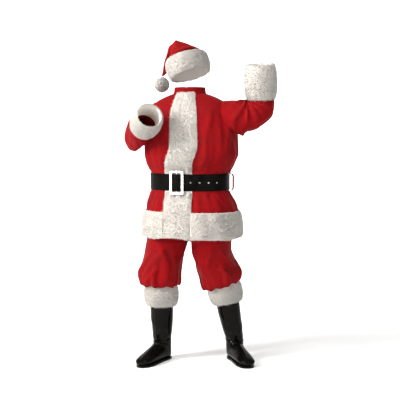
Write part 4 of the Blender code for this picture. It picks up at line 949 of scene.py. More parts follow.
def declare_cloth(outer, around=False):
    """Measure a sheet's width, length and area over its outer grid; the values are not kept."""
    closed = closed_columns(outer) if around else outer
    wide = float(length_along(closed, 1)[:, -1].max())
    long = float(length_along(closed, 0)[-1].max())
    area = min(float(cell_areas(closed).sum()), wide * long)


def make_sheet(node, ending, material, outer, inner, around=False, tip=None):
    """Sheet that stands for a CAD node, as a wall between its outer and inner grid."""
    item = add_wall(node + ending, outer, inner, material, around, tip)
    finish_piece(item, material, node)
    declare_cloth(outer, around)


# Fur

def fur_roots(base, full, count, rng):
    """Random places over a grid: roots, tips over them, and the directions along it."""
    area = cell_areas(base).ravel()
    cell = rng.choice(len(area), count, p=area / area.sum())
    row, column = np.divmod(cell, base.shape[1] - 1)
    s, t = rng.random((2, count, 1))

    def mixed(grid):
        """Grid read inside each cell, mixed from its four corners."""
        near = grid[row, column] * (1 - t) + grid[row, column + 1] * t
        far = grid[row + 1, column] * (1 - t) + grid[row + 1, column + 1] * t
        return near * (1 - s) + far * s

    across = unit(base[row, column + 1] - base[row, column])
    down = unit(base[row + 1, column] - base[row, column])
    return mixed(base), mixed(full), across, down


def comb(roots, across, down, rng, tuft):
    """Sideways lean of each hair: the lean of its tuft and a pull to the tuft's middle."""
    place = np.stack([(roots * across).sum(-1), (roots * down).sum(-1), roots[:, 2]], -1)
    cell = np.floor(place / tuft + rng.normal(0, 0.22, place.shape)).astype(int)
    key = (cell * TUFT_MIX).sum(-1) % TUFTS
    leans = rng.normal(0, 1, (TUFTS, 2))
    swells = rng.random((TUFTS, 1))
    middles = rng.random((TUFTS, 3))
    pull = (cell + middles[key]) * tuft - place
    lean = leans[key, :1] * across + leans[key, 1:] * down
    pull = pull[:, :1] * across + pull[:, 1:2] * down
    return lean, pull, swells[key]


def hair_triangles(roots, tips, across, down, look, rng):
    """Three tapered triangles for each hair, curved along its tuft's lean.

    A hair runs root -> root + BEND_AT L d + bend / 4 -> root + L d + bend, with L the
    depth left over the backing, d its mixed direction and bend the lean of its tuft and
    its own weight. Hairs under the belt are short and straight.
    """
    count = len(roots)
    depth = np.linalg.norm(tips - roots, axis=-1, keepdims=True)
    outwards = unit(tips - roots)
    lean, pull, swell = comb(roots, across, down, rng, look.tuft_size)
    least, chance, more = HAIR_LENGTHS
    long = np.maximum(depth, look.shortest) * (least + chance * rng.random((count, 1)) + more * swell)
    pressed = np.abs(roots[:, 2:] - BELT_HEIGHT) < BELT_WIDTH / 2 + 0.005
    long = np.where(pressed, 0.6 * depth, long)
    free = np.where(pressed, 0.0, 1.0)
    own = rng.normal(0, 1, (count, 3)) * (0.3 + 0.7 * free)
    direction = unit(outwards + TUFT_TURN * look.tousle * lean * free + HAIR_TURN * look.tousle * own)
    bend = free * (TUFT_PULL * pull + long * (TUFT_BEND * look.tousle * lean + (0.0, 0.0, -HAIR_DROOP)))
    side = unit(np.cross(direction, rng.normal(0, 1, (count, 3))))
    half = look.hair_width / 2 * (0.7 + 0.6 * rng.random((count, 1)))
    root = roots - ROOT_DEPTH * outwards
    middle = roots + BEND_AT * long * direction + 0.25 * bend
    end = roots + long * direction + bend
    points = np.stack([root - side * half, root + side * half, middle - side * half * 0.8,
                       middle + side * half * 0.8, end], 1)
    first = 5 * np.arange(count)[:, None, None]
    triangles = (first + np.array([[0, 1, 3], [0, 3, 2], [2, 3, 4]])).reshape(-1, 3)
    soft = unit(0.75 * outwards + 0.45 * direction + 0.12 * own)
    normals = np.repeat(soft[:, None], 5, 1).reshape(-1, 3)
    # along paints shade towards each root; shade paints shorter tufts darker, with a random part for each
    # hair
    along = np.tile([0.0, 0.0, 0.6, 0.6, 1.0], count)
    shade = np.repeat(0.35 * rng.random(count) + 0.65 * swell[:, 0], 5)
    return points.reshape(-1, 3), triangles, normals, along, shade


def add_fur(name, base, full, backing, look):
    """One mesh of a dense backing and its hairs, which run from one grid to another."""
    count, seed = FUR_COUNTS[name]
    rng = np.random.default_rng(seed)
    points, cells = backing
    quads = cells[..., 0].astype(int)
    triangles = np.concatenate([quads[:, [0, 1, 2]], quads[:, [0, 2, 3]]])
    corner = points[triangles]
    face = np.cross(corner[:, 1] - corner[:, 0], corner[:, 2] - corner[:, 0])
    normals = np.zeros_like(points)
    for k in range(3):
        np.add.at(normals, triangles[:, k], face)
    volume = (corner[:, 0] * np.cross(corner[:, 1], corner[:, 2])).sum()
    if volume < 0:
        triangles = triangles[:, ::-1]
        normals = -normals
    # The backing takes a middle tone on the ramp of painted shade
    tones = [np.full(len(points), tone) for tone in BACKING_SHADE_TONE]
    hair = hair_triangles(*fur_roots(base, full, int(count * look.density), rng), look, rng)
    hair = (hair[0], hair[1] + len(points)) + hair[2:]
    pairs = zip((points, triangles, normals, *tones), hair)
    points, triangles, normals, along, shade = [np.concatenate(pair) for pair in pairs]
    mesh = bpy.data.meshes.new(name)
    mesh.vertices.add(len(points))
    mesh.vertices.foreach_set("co", points.astype(np.float32).ravel())
    mesh.loops.add(3 * len(triangles))
    mesh.loops.foreach_set("vertex_index", triangles.astype(np.int32).ravel())
    mesh.polygons.add(len(triangles))
    mesh.polygons.foreach_set("loop_start", np.arange(0, 3 * len(triangles), 3, dtype=np.int32))
    mesh.update(calc_edges=True)
    colours = mesh.attributes.new("hair", "FLOAT_COLOR", "POINT")
    values = np.stack([along, shade, 0 * along, 0 * along + 1], -1)
    colours.data.foreach_set("color", values.astype(np.float32).ravel())
    mesh.shade_smooth()
    mesh.normals_split_custom_set_from_vertices(unit(normals).tolist())
    item = new_object(name + "_pile", mesh, "white_fur")
    finish_piece(item, "white_fur", name)


# Cloth of the jacket

def ridges(table, turn, number):
    """Sum of soft ridges depth * exp(-(off / width)^2) * exp(-(run / length)^2).

    run = the turn from the ridge's middle, in degrees, and off = the ring number from
    its row less lean * sin(run).
    """
    total = np.zeros(np.broadcast(turn, number).shape)
    for middle, row, lean, width, length, depth in table:
        run = (np.degrees(turn) - middle + 180) % 360 - 180
        off = number - row - lean * np.sin(np.radians(run))
        total = total + depth * np.exp(-(off / width) ** 2) * np.exp(-(run / length) ** 2)
    return total


def ripples(row, turn, number):
    """size * cos(a turn + b number) * cos(c number + d turn) of a row (size, a, b, c, d)."""
    size, a, b, c, d = row
    return size * np.cos(a * turn + b * number) * np.cos(c * number + d * turn)


def lifted(rings, height):
    """Rings of a tube moved out square to its face by a height at each point."""
    return rings - inward_of(rings) * height[..., None]


def make_panel(name, angles, rows):
    """Panel of plush between columns of angles, one row for each distance up the side."""
    angles = finer(angles, COLUMN_STEPS)
    outer, inner = [jacket(angles, rows[:, None], out) for out in (0.0, -CLOTH)]
    make_sheet(name, "_cloth", "red_plush", outer, inner)


def make_jacket():
    """Both fronts, the back, and the neckband, which is open in the middle of the front."""
    rows = finer(jacket_rows(), ROW_STEPS)
    make_panel("jacket_front_left", front_columns(rows, 1), rows)
    make_panel("jacket_front_right", front_columns(rows, -1), rows)
    make_panel("jacket_back", back_columns(rows), rows)
    collar = finer(along_at(np.array((NECK_SEAM, COLLAR_TOP))) + np.array((SEAM, 0)), ROW_STEPS)
    right = [band_angle(collar, part) + 2 * pi for part in (-UNDER_RIGHT, -COLLAR_OPENING)]
    left = [band_angle(collar, part) for part in (COLLAR_OPENING, UNDER_LEFT, 0.69)]
    columns = np.stack(left, -1), around_columns(collar), np.stack(right, -1)
    make_panel("jacket_neckband", np.concatenate(columns, 1), collar)


def make_belt_loops():
    """Narrow loops of cloth over the belt at both side seams."""
    fine = np.linspace(LOOP_REACH, -LOOP_REACH, 57)
    level = along_at(BELT_HEIGHT + fine)[:, None]
    part = np.linspace(-1, 1, 7)
    thick = LOOP_THICK * (1 - 0.35 * part ** 4)
    for side_name, stand in LOOP_STANDS.items():
        down, bow = [values[::-1] for values in belt_loop_rows(stand)]
        off = smooth_through(down, bow, fine)[:, None]
        middle = pi / 2 if side_name == "left" else -pi / 2
        angles = middle + LOOP_HALF / SIDE_RADIUS * part[None]
        inner, outer = jacket(angles, level, off), jacket(angles, level, off + thick)
        make_sheet("belt_loop_" + side_name, "_cloth", "red_plush", outer, inner)


# Sleeves

def sleeve_surface(side_name, at, turn):
    """Rings of a sleeve at ring numbers, over even turns from the underside by the front."""
    side = 1 if side_name == "left" else -1
    quarters = jacket(*arm_loop(side, np.arange(4) * pi / 2), PROUD)
    loop = jacket(*arm_loop(side, turn), PROUD)
    guides = sleeve_guides(side_name, quarters)
    outer = guided_rings(read_guides(guides, at), turn)
    return outer + (loop - outer[0]) * (1 - ease(at, 0, 1.2))[:, None, None]


def make_sleeve(side_name, creases):
    """Sleeve from the armhole's edge to its end under the cuff, creased at the elbow."""
    turn = np.linspace(0, 2 * pi, SLEEVE_AROUND * COLUMN_STEPS, endpoint=False)
    last = len(SLEEVE_GUIDES[side_name]) + 2
    at = np.linspace(0, last, 76)
    number = at[:, None]
    free = ease(number, 0.15, 0.9) * (1 - ease(number, last - 1.25, last - 0.95)) * creases
    height = ridges(SLEEVE_CREASES[side_name], turn, number) + ripples(SLEEVE_RIPPLE, turn, number)
    outer = lifted(sleeve_surface(side_name, at, turn), height * free)
    inner = outer + CLOTH * inward_of(outer)
    make_sheet("jacket_sleeve_" + side_name, "_cloth", "red_plush", outer, inner, around=True)


# Trousers

def make_leg(side_name):
    """One piece of cloth round the leg, meeting itself at the inseam."""
    side = 1 if side_name == "left" else -1
    seat = CROTCH + CROTCH_RISE * (1 - np.sin(np.radians((35, 60, 80))))
    heights = np.concatenate([[WAIST_BOTTOM - SEAM, -0.560, -0.665], seat, -np.array(LEG_ROWS[side_name])])
    part = np.linspace(0, 1, LEG_AROUND * COLUMN_STEPS + 1)
    gap = SEAM / 2 / LEG_RADIUS / (2 * pi)
    part[0] += gap
    part[-1] -= gap
    part, height = np.meshgrid(part, finer(heights, ROW_STEPS + 1))

    def surface(across, up):
        """The trousers' surface, moved by a part of the turn and by a height."""
        return trouser_surface(side_name, part + across, height + up)

    outer = surface(0, 0)
    run = surface(NUDGE, 0) - surface(-NUDGE, 0)
    drop = surface(0, -NUDGE) - surface(0, NUDGE)
    inner = outer + TROUSER_CLOTH * side * unit(np.cross(run, drop))
    make_sheet("trouser_leg_" + side_name, "_cloth", "red_plush", outer, inner)


# Fur trims

def make_trim(name, surface, look, around=False):
    """Fur piece whose surface(share) runs from the face it lies on to its tips."""
    base, full, inner = surface(FUR_BACKING), surface(1.0), surface(0.0)
    backing = wall_cells(base, inner, around)
    if around:
        base, full = closed_columns(base), closed_columns(full)
    add_fur(name, base, full, backing, look)


def make_front_band(look):
    """Fur band from the hem to the neck, made on the fronts' own points."""
    low = along_at(HEM + np.array((0, 0.020, 0.068)))
    rows = finer(np.concatenate([low, jacket_rows()]), ROW_STEPS)
    angles = finer(np.stack([band_angle(rows, part) for part in BAND_STEPS], -1), COLUMN_STEPS)
    swell = finer((0.34, 0.94, 1.0, 1.0, 0.94, 0.34), COLUMN_STEPS)
    depth = pile(body_sizes(rows)[0], FUR - 0.002)
    from_end = np.minimum(rows - rows[0], rows[-1] - rows)
    depth = (depth * (0.40 + 0.60 * ease(from_end, 0, 0.014)))[:, None] * swell
    make_trim("fur_front_band", lambda share: jacket(angles, rows[:, None], LIE + share * depth), look)


def make_hem_band(look):
    """Fur round the hem, from one edge of the front band to its other edge."""
    rows = along_at(finer((HEM, HEM + 0.013, HEM + 0.060, RED_HEM, FUR_HEM_TOP), TRIM_STEPS))
    parts = finer((0.26, 0.80, 1.0, 0.95, 0.34), TRIM_STEPS)
    angles = around_columns(rows)
    room = SEAM / HEM_RADIUS
    angles[:, 0] += room
    angles[:, -1] -= room
    angles = finer(angles, COLUMN_STEPS)
    depth = (parts * FUR)[:, None]
    make_trim("fur_hem_band", lambda share: jacket(angles, rows[:, None], LIE + share * depth), look)


def make_cuff(side_name, look):
    """Fur ring over the sleeve's end: a rounded section carried round."""
    place = CUFFS[side_name]
    ahead, under, front = cuff_axes(side_name)
    start = np.array(place["start"])
    long = np.linalg.norm(np.array(place["mouth"]) - start)
    down = (0.004, 0.001, 0.012, 0.034, 0.5 * long, long - 0.036, long - 0.013, long - 0.001, long - 0.005)
    out = (0.0012, 0.0040, 0.0105, 0.0175, 0.0220, 0.0175, 0.0105, 0.0045, 0.0012)
    down, out = finer((down, out), TRIM_STEPS)
    turn = np.linspace(0, 2 * pi, 90, endpoint=False)[None, :, None]
    spoke = np.cos(turn) * under + np.sin(turn) * front

    def surface(share):
        """start + inset * ahead + (radius + off) * spoke, with off growing by share."""
        inset = 0.5 * long + (down - 0.5 * long) * (0.90 + 0.10 * share)
        off = LIE + share * (out - LIE)
        return start + inset[:, None, None] * ahead + (place["radius"] + off)[:, None, None] * spoke

    make_trim("fur_cuff_" + side_name, surface, look, around=True)


def make_leg_cuff(side_name, look):
    """Fur ring under the blousing, drawn in below to the boot."""
    place = LEG_CUFFS[side_name]
    top, foot = np.array(place["top"]), np.array(place["foot"])
    side = 1 if side_name == "left" else -1
    turn = np.linspace(0, 2 * pi, 100, endpoint=False)[None]
    down, inner, outer = finer(np.array(LEG_CUFF_ROWS).T, TRIM_STEPS)
    part = (down / down[-1])[:, None]
    lean = np.radians(place["tilt"] + part * (place["foot_tilt"] - place["tilt"]))
    middle = (top + part * (foot - top))[:, None]

    def surface(share):
        """Circles about the middle line, tipped by lean, from inner to outer radius by share."""
        radius = (inner + share * (outer - inner))[:, None]
        inward = -side * np.cos(turn) * radius
        return middle + np.stack([inward * np.cos(lean), -np.sin(turn) * radius, inward * np.sin(lean)], -1)

    make_trim("trouser_fur_cuff_" + side_name, surface, look, around=True)


def make_hat_band(look):
    """Fur ring round the hat's opening: a rounded section, the same above and below its middle."""
    high = HAT_BAND_HALF_HEIGHT
    upper = np.array((high - 0.002, high, high - 0.007, high - 0.021, 0.0))
    depth = np.array((0.0016, 0.007, 0.014, HAT_FUR, HAT_FUR + 0.003))
    level = finer(np.concatenate([upper, -upper[-2::-1]]), TRIM_STEPS)
    grow = finer(np.concatenate([depth, depth[-2::-1]]), TRIM_STEPS)
    turn = np.linspace(0, 2 * pi, 120, endpoint=False)

    def surface(share):
        """Rings in the band's plane, each standing out to its depth by share."""
        return np.stack([hat_ring(up * (0.93 + 0.07 * share), LIE + share * (out - LIE), turn)
                         for up, out in zip(level, grow)])

    make_trim("hat_fur_band", surface, look, around=True)


def make_pompom(look):
    """Ball of long fur round a smaller dense ball."""
    rise = np.linspace(-pi / 2 + 0.02, pi / 2 - 0.02, 41)[:, None]
    turn = np.linspace(0, 2 * pi, 80, endpoint=False)[None]
    level = np.cos(rise)
    spoke = np.stack([level * np.cos(turn), level * np.sin(turn), np.sin(rise) + 0 * turn], -1)

    def surface(share):
        """Sphere about the pompom's middle, nearly the full one at share 1."""
        return np.array(POMPOM_MIDDLE) + POMPOM_RADIUS * (0.10 + 0.88 * share) * spoke

    make_trim("hat_pompom", surface, look, around=True)


# Belt

def make_belt():
    """Strap with softly rounded edges, bent over the buckle's rod."""
    angles, off = [finer(values[::-1], TRIM_STEPS)[None] for values in belt_columns()]
    part = np.array((-1.0, -0.985, -0.95, -0.80, -0.40, 0.0, 0.40, 0.80, 0.95, 0.985, 1.0))
    swell = np.array((0.30, 0.72, 0.92, 1.0, 1.0, 1.0, 1.0, 1.0, 0.92, 0.72, 0.30))[:, None]
    rows = along_at(BELT_HEIGHT + part * BELT_WIDTH / 2)[:, None]
    inner, outer = jacket(angles, rows, off), jacket(angles, rows, off + LEATHER * swell)
    make_sheet("belt_strap", "_leather", "belt_leather", outer, inner)


# Boots and hat

def through_rings(rings):
    """Ring numbers with even steps between the rings, and the smooth curve through them."""
    last = len(rings) - 1
    at = np.linspace(0, last, last * RING_STEPS + 1)
    return at[:, None], read_guides(rings, at)


def rounded_toe(rings, forward, bulge, tip):
    """Rings with the toe rounded off: the last ring shrinks by cos(a) and goes on by sin(a)."""
    last, middle = rings[-1], rings[-1].mean(0)
    caps = [middle + (last - middle) * np.cos(a) + bulge * np.sin(a) * forward for a in TOE_STEPS]
    return np.concatenate([rings, np.stack(caps)]), middle + tip * forward


def make_boot(side_name, creases):
    """Boot drawn over its rings, creased at the ankle, with a ridge along the instep's seam."""
    heading = BOOTS[side_name]["heading"]
    forward = np.array((np.sin(heading), -np.cos(heading), 0))
    turn = np.linspace(0, 2 * pi, 64, endpoint=False)
    number, outer = through_rings(boot_rings(side_name, turn))
    run = (np.degrees(turn) - 90 + 180) % 360 - 180
    high, low, width, aside = INSTEP_RIDGE
    seam = high * np.exp(-(run / width) ** 2) - low * np.exp(-((np.abs(run) - aside) / width) ** 2)
    seam = seam * ease(number, 0.2, 1.0) * (1 - ease(number, 9.6, 10.8))
    outer = lifted(outer, seam + ridges(BOOT_CREASES, turn, number) * creases)
    inner = outer + VINYL * inward_of(outer)
    outer, tip = rounded_toe(outer, forward, *TOE_BULGES["outer"])
    inner, inner_tip = rounded_toe(inner, forward, *TOE_BULGES["inner"])
    make_sheet("boot_" + side_name, "_upper", "boot_vinyl", outer, inner, around=True,
               tip=np.stack([tip, inner_tip]))


def make_crown(creases):
    """Crown folded over to its right, its tip hanging behind the band."""
    turn = np.linspace(0, 2 * pi, HAT_AROUND * RING_STEPS, endpoint=False)
    number, outer = through_rings(crown_rings(turn))
    free = ease(number, 1.0, 1.9) * (1 - ease(number, 8.6, 9.6)) * creases
    height = ridges(HAT_CREASES, turn, number) + ripples(HAT_RIPPLE, turn, number)
    outer = lifted(outer, height * free)
    inner = outer + CLOTH * inward_of(outer)
    tip = np.stack([outer[-1].mean(0), inner[-1].mean(0)])
    make_sheet("hat_crown", "_cloth", "red_plush", outer, inner, around=True, tip=tip)


# Materials

def set_inputs(tree, node, **inputs):
    """Give a node's inputs values or links; spaces in their names are written as _."""
    for key, value in inputs.items():
        socket = node.inputs[key.replace("_", " ")]
        if isinstance(value, bpy.types.NodeSocket):
            tree.links.new(value, socket)
        else:
            socket.default_value = value


def add_node(tree, kind, settings=(), **inputs):
    """New shader node of a kind, with its settings and inputs."""
    new = tree.nodes.new("ShaderNode" + kind)
    for key, value in dict(settings).items():
        setattr(new, key, value)
    set_inputs(tree, new, **inputs)
    return new


def start_material(name):
    """Fresh material with its shader and the object's own coordinates."""
    material = bpy.data.materials.new(name + "_look")
    material.use_nodes = True
    tree = material.node_tree
    tree.nodes.clear()
    shader = add_node(tree, "BsdfPrincipled")
    add_node(tree, "OutputMaterial", Surface=shader.outputs["BSDF"])
    place = add_node(tree, "TexCoord").outputs["Object"]
    return tree, shader, place


def noise(tree, place, scale, detail=2.0, stretch=(1, 1, 1)):
    """Noise with its features about 1 / scale metres wide, stretched along an axis."""
    vector = add_node(tree, "Mapping", Vector=place, Scale=stretch).outputs["Vector"]
    return add_node(tree, "TexNoise", Vector=vector, Scale=scale, Detail=detail).outputs["Fac"]


def ramp(tree, value, stops):
    """Colour ramp through (position, colour) stops."""
    new = add_node(tree, "ValToRGB", Fac=value)
    elements = new.color_ramp.elements
    while len(elements) < len(stops):
        elements.new(0.5)
    for element, (position, colour) in zip(elements, stops):
        element.position = position
        element.color = (*colour, 1.0)
    return new.outputs["Color"]


def scaled(tree, value, low, high):
    """Value from 0 to 1 spread between low and high."""
    return add_node(tree, "MapRange", Value=value, From_Min=0.3, From_Max=0.7,
                    To_Min=low, To_Max=high).outputs["Result"]


def joined(tree, first, second, share):
    """First value with a share of the second one in it."""
    part = add_node(tree, "Math", {"operation": "MULTIPLY"}).inputs
    tree.links.new(second, part[0])
    part[1].default_value = share
    rest = add_node(tree, "Math", {"operation": "MULTIPLY_ADD"}).inputs
    tree.links.new(first, rest[0])
    rest[1].default_value = 1 - share
    tree.links.new(part[0].node.outputs[0], rest[2])
    return rest[0].node.outputs[0]


def bump(tree, shader, height, distance, strength):
    """Relief of a height pattern, distance metres deep."""
    new = add_node(tree, "Bump", Height=height, Distance=distance, Strength=strength)
    set_inputs(tree, shader, Normal=new.outputs["Normal"])


def shades_of(colour, *factors):
    """A colour once for each factor, darker or lighter by it."""
    return [tuple(float(part) * factor for part in colour) for factor in factors]


def make_plush(look):
    """Velour: crushed patches of nap, fine pile, and light caught along its edges."""
    tree, shader, place = start_material("red_plush")
    patches = noise(tree, place, 11.0, 4.0)
    crush = noise(tree, place, 75.0, 3.0, (1, 1, 0.45))
    nap = noise(tree, place, 1500.0, 2.0, (1, 1, 0.5))
    pattern = joined(tree, patches, crush, 0.42)
    pattern = joined(tree, pattern, nap, 0.26)
    dark, plain, light = shades_of(look.colour, 0.74, 1.0, 1.24)
    colour = ramp(tree, pattern, [(0.34, dark), (0.50, plain), (0.66, light)])
    set_inputs(tree, shader, Base_Color=colour, Roughness=scaled(tree, patches, 0.72, 0.92),
               Sheen_Weight=look.sheen, Sheen_Roughness=0.38, Sheen_Tint=(1.0, 0.16, 0.16, 1.0),
               Specular_IOR_Level=0.1)
    bump(tree, shader, joined(tree, crush, nap, 0.55), 0.0011, look.nap)


def make_fur(look):
    """Warm white pile with painted shade: darker at the roots and in shorter tufts, each hair a little
    different.
    """
    tree, shader, place = start_material("white_fur")
    hair = add_node(tree, "Attribute", {"attribute_name": "hair"}).outputs["Color"]
    parts = add_node(tree, "SeparateColor", Color=hair).outputs
    clumps = noise(tree, place, 60.0, 3.0)
    # Painted shade: darker towards the roots and in shorter tufts; clumps vary the tone at random
    value = joined(tree, joined(tree, parts["Red"], parts["Green"], 0.42), clumps, 0.18)
    middle = [(a + b) / 2 for a, b in zip(look.shaded_root_colour, look.tip_colour)]
    colour = ramp(tree, value, [(0.12, tuple(look.shaded_root_colour)), (0.38, middle),
                                (0.70, tuple(look.tip_colour))])
    set_inputs(tree, shader, Base_Color=colour, Roughness=0.72, Sheen_Weight=0.2,
               Sheen_Roughness=0.5, Specular_IOR_Level=0.2)
    through = add_node(tree, "BsdfTranslucent", Color=colour).outputs["BSDF"]
    mixed = add_node(tree, "MixShader", Fac=look.light_through)
    tree.links.new(shader.outputs["BSDF"], mixed.inputs[1])
    tree.links.new(through, mixed.inputs[2])
    tree.links.new(mixed.outputs["Shader"], tree.nodes["Material Output"].inputs["Surface"])


def make_leather(look):
    """Smooth black strap with a fine grain, worn duller in places."""
    tree, shader, place = start_material("belt_leather")
    wear = noise(tree, place, 24.0, 4.0)
    grain = add_node(tree, "TexVoronoi", Vector=place, Scale=620.0).outputs["Distance"]
    dark, light = shades_of(look.leather_colour, 0.8, 1.9)
    set_inputs(tree, shader, Base_Color=ramp(tree, wear, [(0.35, dark), (0.70, light)]),
               Roughness=scaled(tree, wear, 0.34, 0.50), Specular_IOR_Level=0.03)
    bump(tree, shader, joined(tree, noise(tree, place, 160.0, 3.0), grain, 0.5), 0.0007, 0.30)


def make_metal(look, name, share, smoothest, roughest):
    """Metal with fine scratches and duller marks."""
    tree, shader, place = start_material(name)
    marks = noise(tree, place, 45.0, 4.0)
    scratches = noise(tree, place, 900.0, 2.0, (1, 1, 0.04))
    dark, light = shades_of(look.metal_colour, 0.86 * share, 1.06 * share)
    set_inputs(tree, shader, Base_Color=ramp(tree, marks, [(0.35, dark), (0.65, light)]), Metallic=1.0,
               Roughness=scaled(tree, joined(tree, marks, scratches, 0.5), smoothest, roughest))
    bump(tree, shader, scratches, 0.0002, 0.10)


def make_vinyl(look):
    """Glossy black vinyl with a lacquer, slightly uneven, duller where it is handled."""
    tree, shader, place = start_material("boot_vinyl")
    smears = noise(tree, place, 16.0, 4.0)
    dark, light = shades_of(look.vinyl_colour, 0.9, 1.7)
    set_inputs(tree, shader, Base_Color=ramp(tree, smears, [(0.40, dark), (0.70, light)]),
               Roughness=scaled(tree, smears, 0.13, 0.27), Specular_IOR_Level=0.03,
               Coat_Weight=0.10, Coat_Roughness=0.05)
    height = joined(tree, noise(tree, place, 42.0, 2.0), noise(tree, place, 420.0, 2.0), 0.25)
    bump(tree, shader, height, 0.0020, 0.22)


def paint_nodes(material, *nodes):
    """Better material for CAD nodes whose shape stays."""
    for name in nodes:
        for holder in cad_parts[name].material_slots:
            holder.material = bpy.data.materials[material + "_look"]


# Stage

def make_backdrop(look):
    """Pale sheet: flat floor, then a quarter circle up to a wall that glows softly.

    y = WALL_START + WALL_BEND sin(a) and z = WALL_BEND (1 - cos(a)) over the floor, with a
    from 0 to pi / 2.
    """
    bend = np.linspace(0, pi / 2, 25)
    side, front, top = BACKDROP_REACH
    y = np.concatenate([[-front], WALL_START + WALL_BEND * np.sin(bend), [WALL_START + WALL_BEND]])
    z = np.concatenate([[0.0], WALL_BEND * (1 - np.cos(bend)), [top]]) + FLOOR
    x = np.array((-side, side))
    grid = np.stack(np.broadcast_arrays(x[None], y[:, None], z[:, None]), -1)
    number = np.arange(grid.shape[0] * 2).reshape(-1, 2, 1)
    mesh = bpy.data.meshes.new("backdrop")
    mesh.from_pydata(grid.reshape(-1, 3).tolist(), [], corners_of(number)[..., 0].tolist())
    mesh.shade_smooth()
    tree, shader, place = start_material("backdrop")
    shade = noise(tree, place, 1.5, 2.0)
    pale, paler = shades_of(look.backdrop, 0.97, 1.0)
    depth = add_node(tree, "SeparateXYZ", Vector=place).outputs["Y"]
    glow = add_node(tree, "MapRange", {"interpolation_type": "SMOOTHSTEP"}, Value=depth, From_Min=-0.6,
                    From_Max=4.6, To_Min=0.06, To_Max=look.glow).outputs["Result"]
    set_inputs(tree, shader, Base_Color=ramp(tree, shade, [(0.3, pale), (0.7, paler)]), Roughness=0.9,
               Emission_Color=WHITE, Emission_Strength=glow)
    new_object("backdrop", mesh, "backdrop")


def add_aimed(name, data, place, aim):
    """Light or camera at a place, looking at its aim."""
    item = bpy.data.objects.new(name, data)
    item.location = place
    item.rotation_euler = (Vector(aim) - Vector(place)).to_track_quat("-Z", "Y").to_euler()
    bpy.context.scene.collection.objects.link(item)
    return item


def make_stage(look):
    """Backdrop, lights, white surroundings and the camera at the photograph's angle."""
    make_backdrop(look)
    for name, place, size, colour in LIGHTS:
        light = bpy.data.lights.new(name, "AREA")
        light.energy = getattr(look, name)
        light.shape = "RECTANGLE"
        light.size, light.size_y = size
        light.color = colour
        add_aimed(name, light, place, LIGHT_AIM)
    scene = bpy.context.scene
    world = bpy.data.worlds.new("studio")
    world.use_nodes = True
    background = world.node_tree.nodes["Background"]
    background.inputs["Color"].default_value = WHITE
    background.inputs["Strength"].default_value = look.surround
    scene.world = world
    camera = bpy.data.cameras.new("camera")
    camera.lens, camera.sensor_width = LENS, SENSOR
    scene.camera = add_aimed("camera", camera, CAMERA_PLACE, CAMERA_AIM)
    scene.view_settings.view_transform = "Standard"


# Settings

class SantaCloth(PropertyGroup):
    """How the plush cloth looks."""

    creases: FloatProperty(name="Creases", description="Depth of the fine creases", default=1.8,
                           min=0.0, max=2.0)
    colour: FloatVectorProperty(name="Colour", description="Colour of the plush", subtype="COLOR",
                                default=(0.190, 0.0010, 0.0026), min=0.0, max=1.0)
    sheen: FloatProperty(name="Sheen", description="Light caught by the pile", default=0.06,
                         min=0.0, max=1.0, subtype="FACTOR")
    nap: FloatProperty(name="Nap", description="Strength of the pile's relief", default=0.55,
                       min=0.0, max=1.0, subtype="FACTOR")


class SantaFur(PropertyGroup):
    """How the fur trims look."""

    density: FloatProperty(name="Density", description="Share of the full number of hairs",
                           default=0.96, min=0.05, max=1.0, subtype="FACTOR")
    shortest: FloatProperty(name="Shortest hair", description="Length of hairs at thin edges",
                            default=0.0085, min=0.002, max=0.02, unit="LENGTH")
    hair_width: FloatProperty(name="Hair width", description="Width of a tuft of hairs at its root",
                              default=0.0014, min=0.0004, max=0.003, unit="LENGTH")
    tuft_size: FloatProperty(name="Tuft size", description="Distance between tufts that lean together",
                             default=0.0052, min=0.003, max=0.03, unit="LENGTH")
    tousle: FloatProperty(name="Tousle", description="How much the hairs lean about", default=0.9,
                          min=0.0, max=2.0)
    light_through: FloatProperty(name="Light through",
                                 description="Share of light that passes through hairs",
                                 default=0.36, min=0.0, max=1.0, subtype="FACTOR")
    # The roots are painted darker than the tips as shade among the hairs
    shaded_root_colour: FloatVectorProperty(name="Roots", description="Colour of the hairs' roots",
                                     subtype="COLOR", default=(0.92, 0.87, 0.81), min=0.0, max=1.0)
    tip_colour: FloatVectorProperty(name="Tips", description="Colour of the hairs' tips",
                                    subtype="COLOR", default=(0.98, 0.955, 0.915), min=0.0, max=1.0)


class SantaGear(PropertyGroup):
    """How the belt, its buckle and the boots look."""

    leather_colour: FloatVectorProperty(name="Belt", description="Colour of the belt", subtype="COLOR",
                                        default=(0.0030, 0.0026, 0.0021), min=0.0, max=1.0)
    metal_colour: FloatVectorProperty(name="Buckle", description="Colour of the metal", subtype="COLOR",
                                      default=(0.80, 0.79, 0.77), min=0.0, max=1.0)
    vinyl_colour: FloatVectorProperty(name="Boots", description="Colour of the boots", subtype="COLOR",
                                      default=(0.0020, 0.0016, 0.0013), min=0.0, max=1.0)


class SantaStage(PropertyGroup):
    """Lights and backdrop."""

    key: FloatProperty(name="Key light", description="Power of the light at the upper left",
                       default=360.0, min=0.0, unit="POWER")
    strip: FloatProperty(name="Strip light",
                         description="Power of the tall light mirrored by buckle and boots",
                         default=46.0, min=0.0, unit="POWER")
    fill: FloatProperty(name="Fill light", description="Power of the soft light at the right",
                        default=55.0, min=0.0, unit="POWER")
    top: FloatProperty(name="Top light", description="Power of the light high in front",
                       default=85.0, min=0.0, unit="POWER")
    surround: FloatProperty(name="Surround", description="Brightness of the white surroundings",
                            default=0.34, min=0.0, max=2.0)
    glow: FloatProperty(name="Wall", description="Light given off by the wall behind", default=1.0,
                        min=0.0, max=2.0)
    backdrop: FloatVectorProperty(name="Backdrop", description="Colour of the floor and wall",
                                  subtype="COLOR", default=(0.90, 0.90, 0.89), min=0.0, max=1.0)


GROUPS = (("santa_cloth", SantaCloth), ("santa_fur", SantaFur), ("santa_gear", SantaGear),
          ("santa_stage", SantaStage))


# Operators

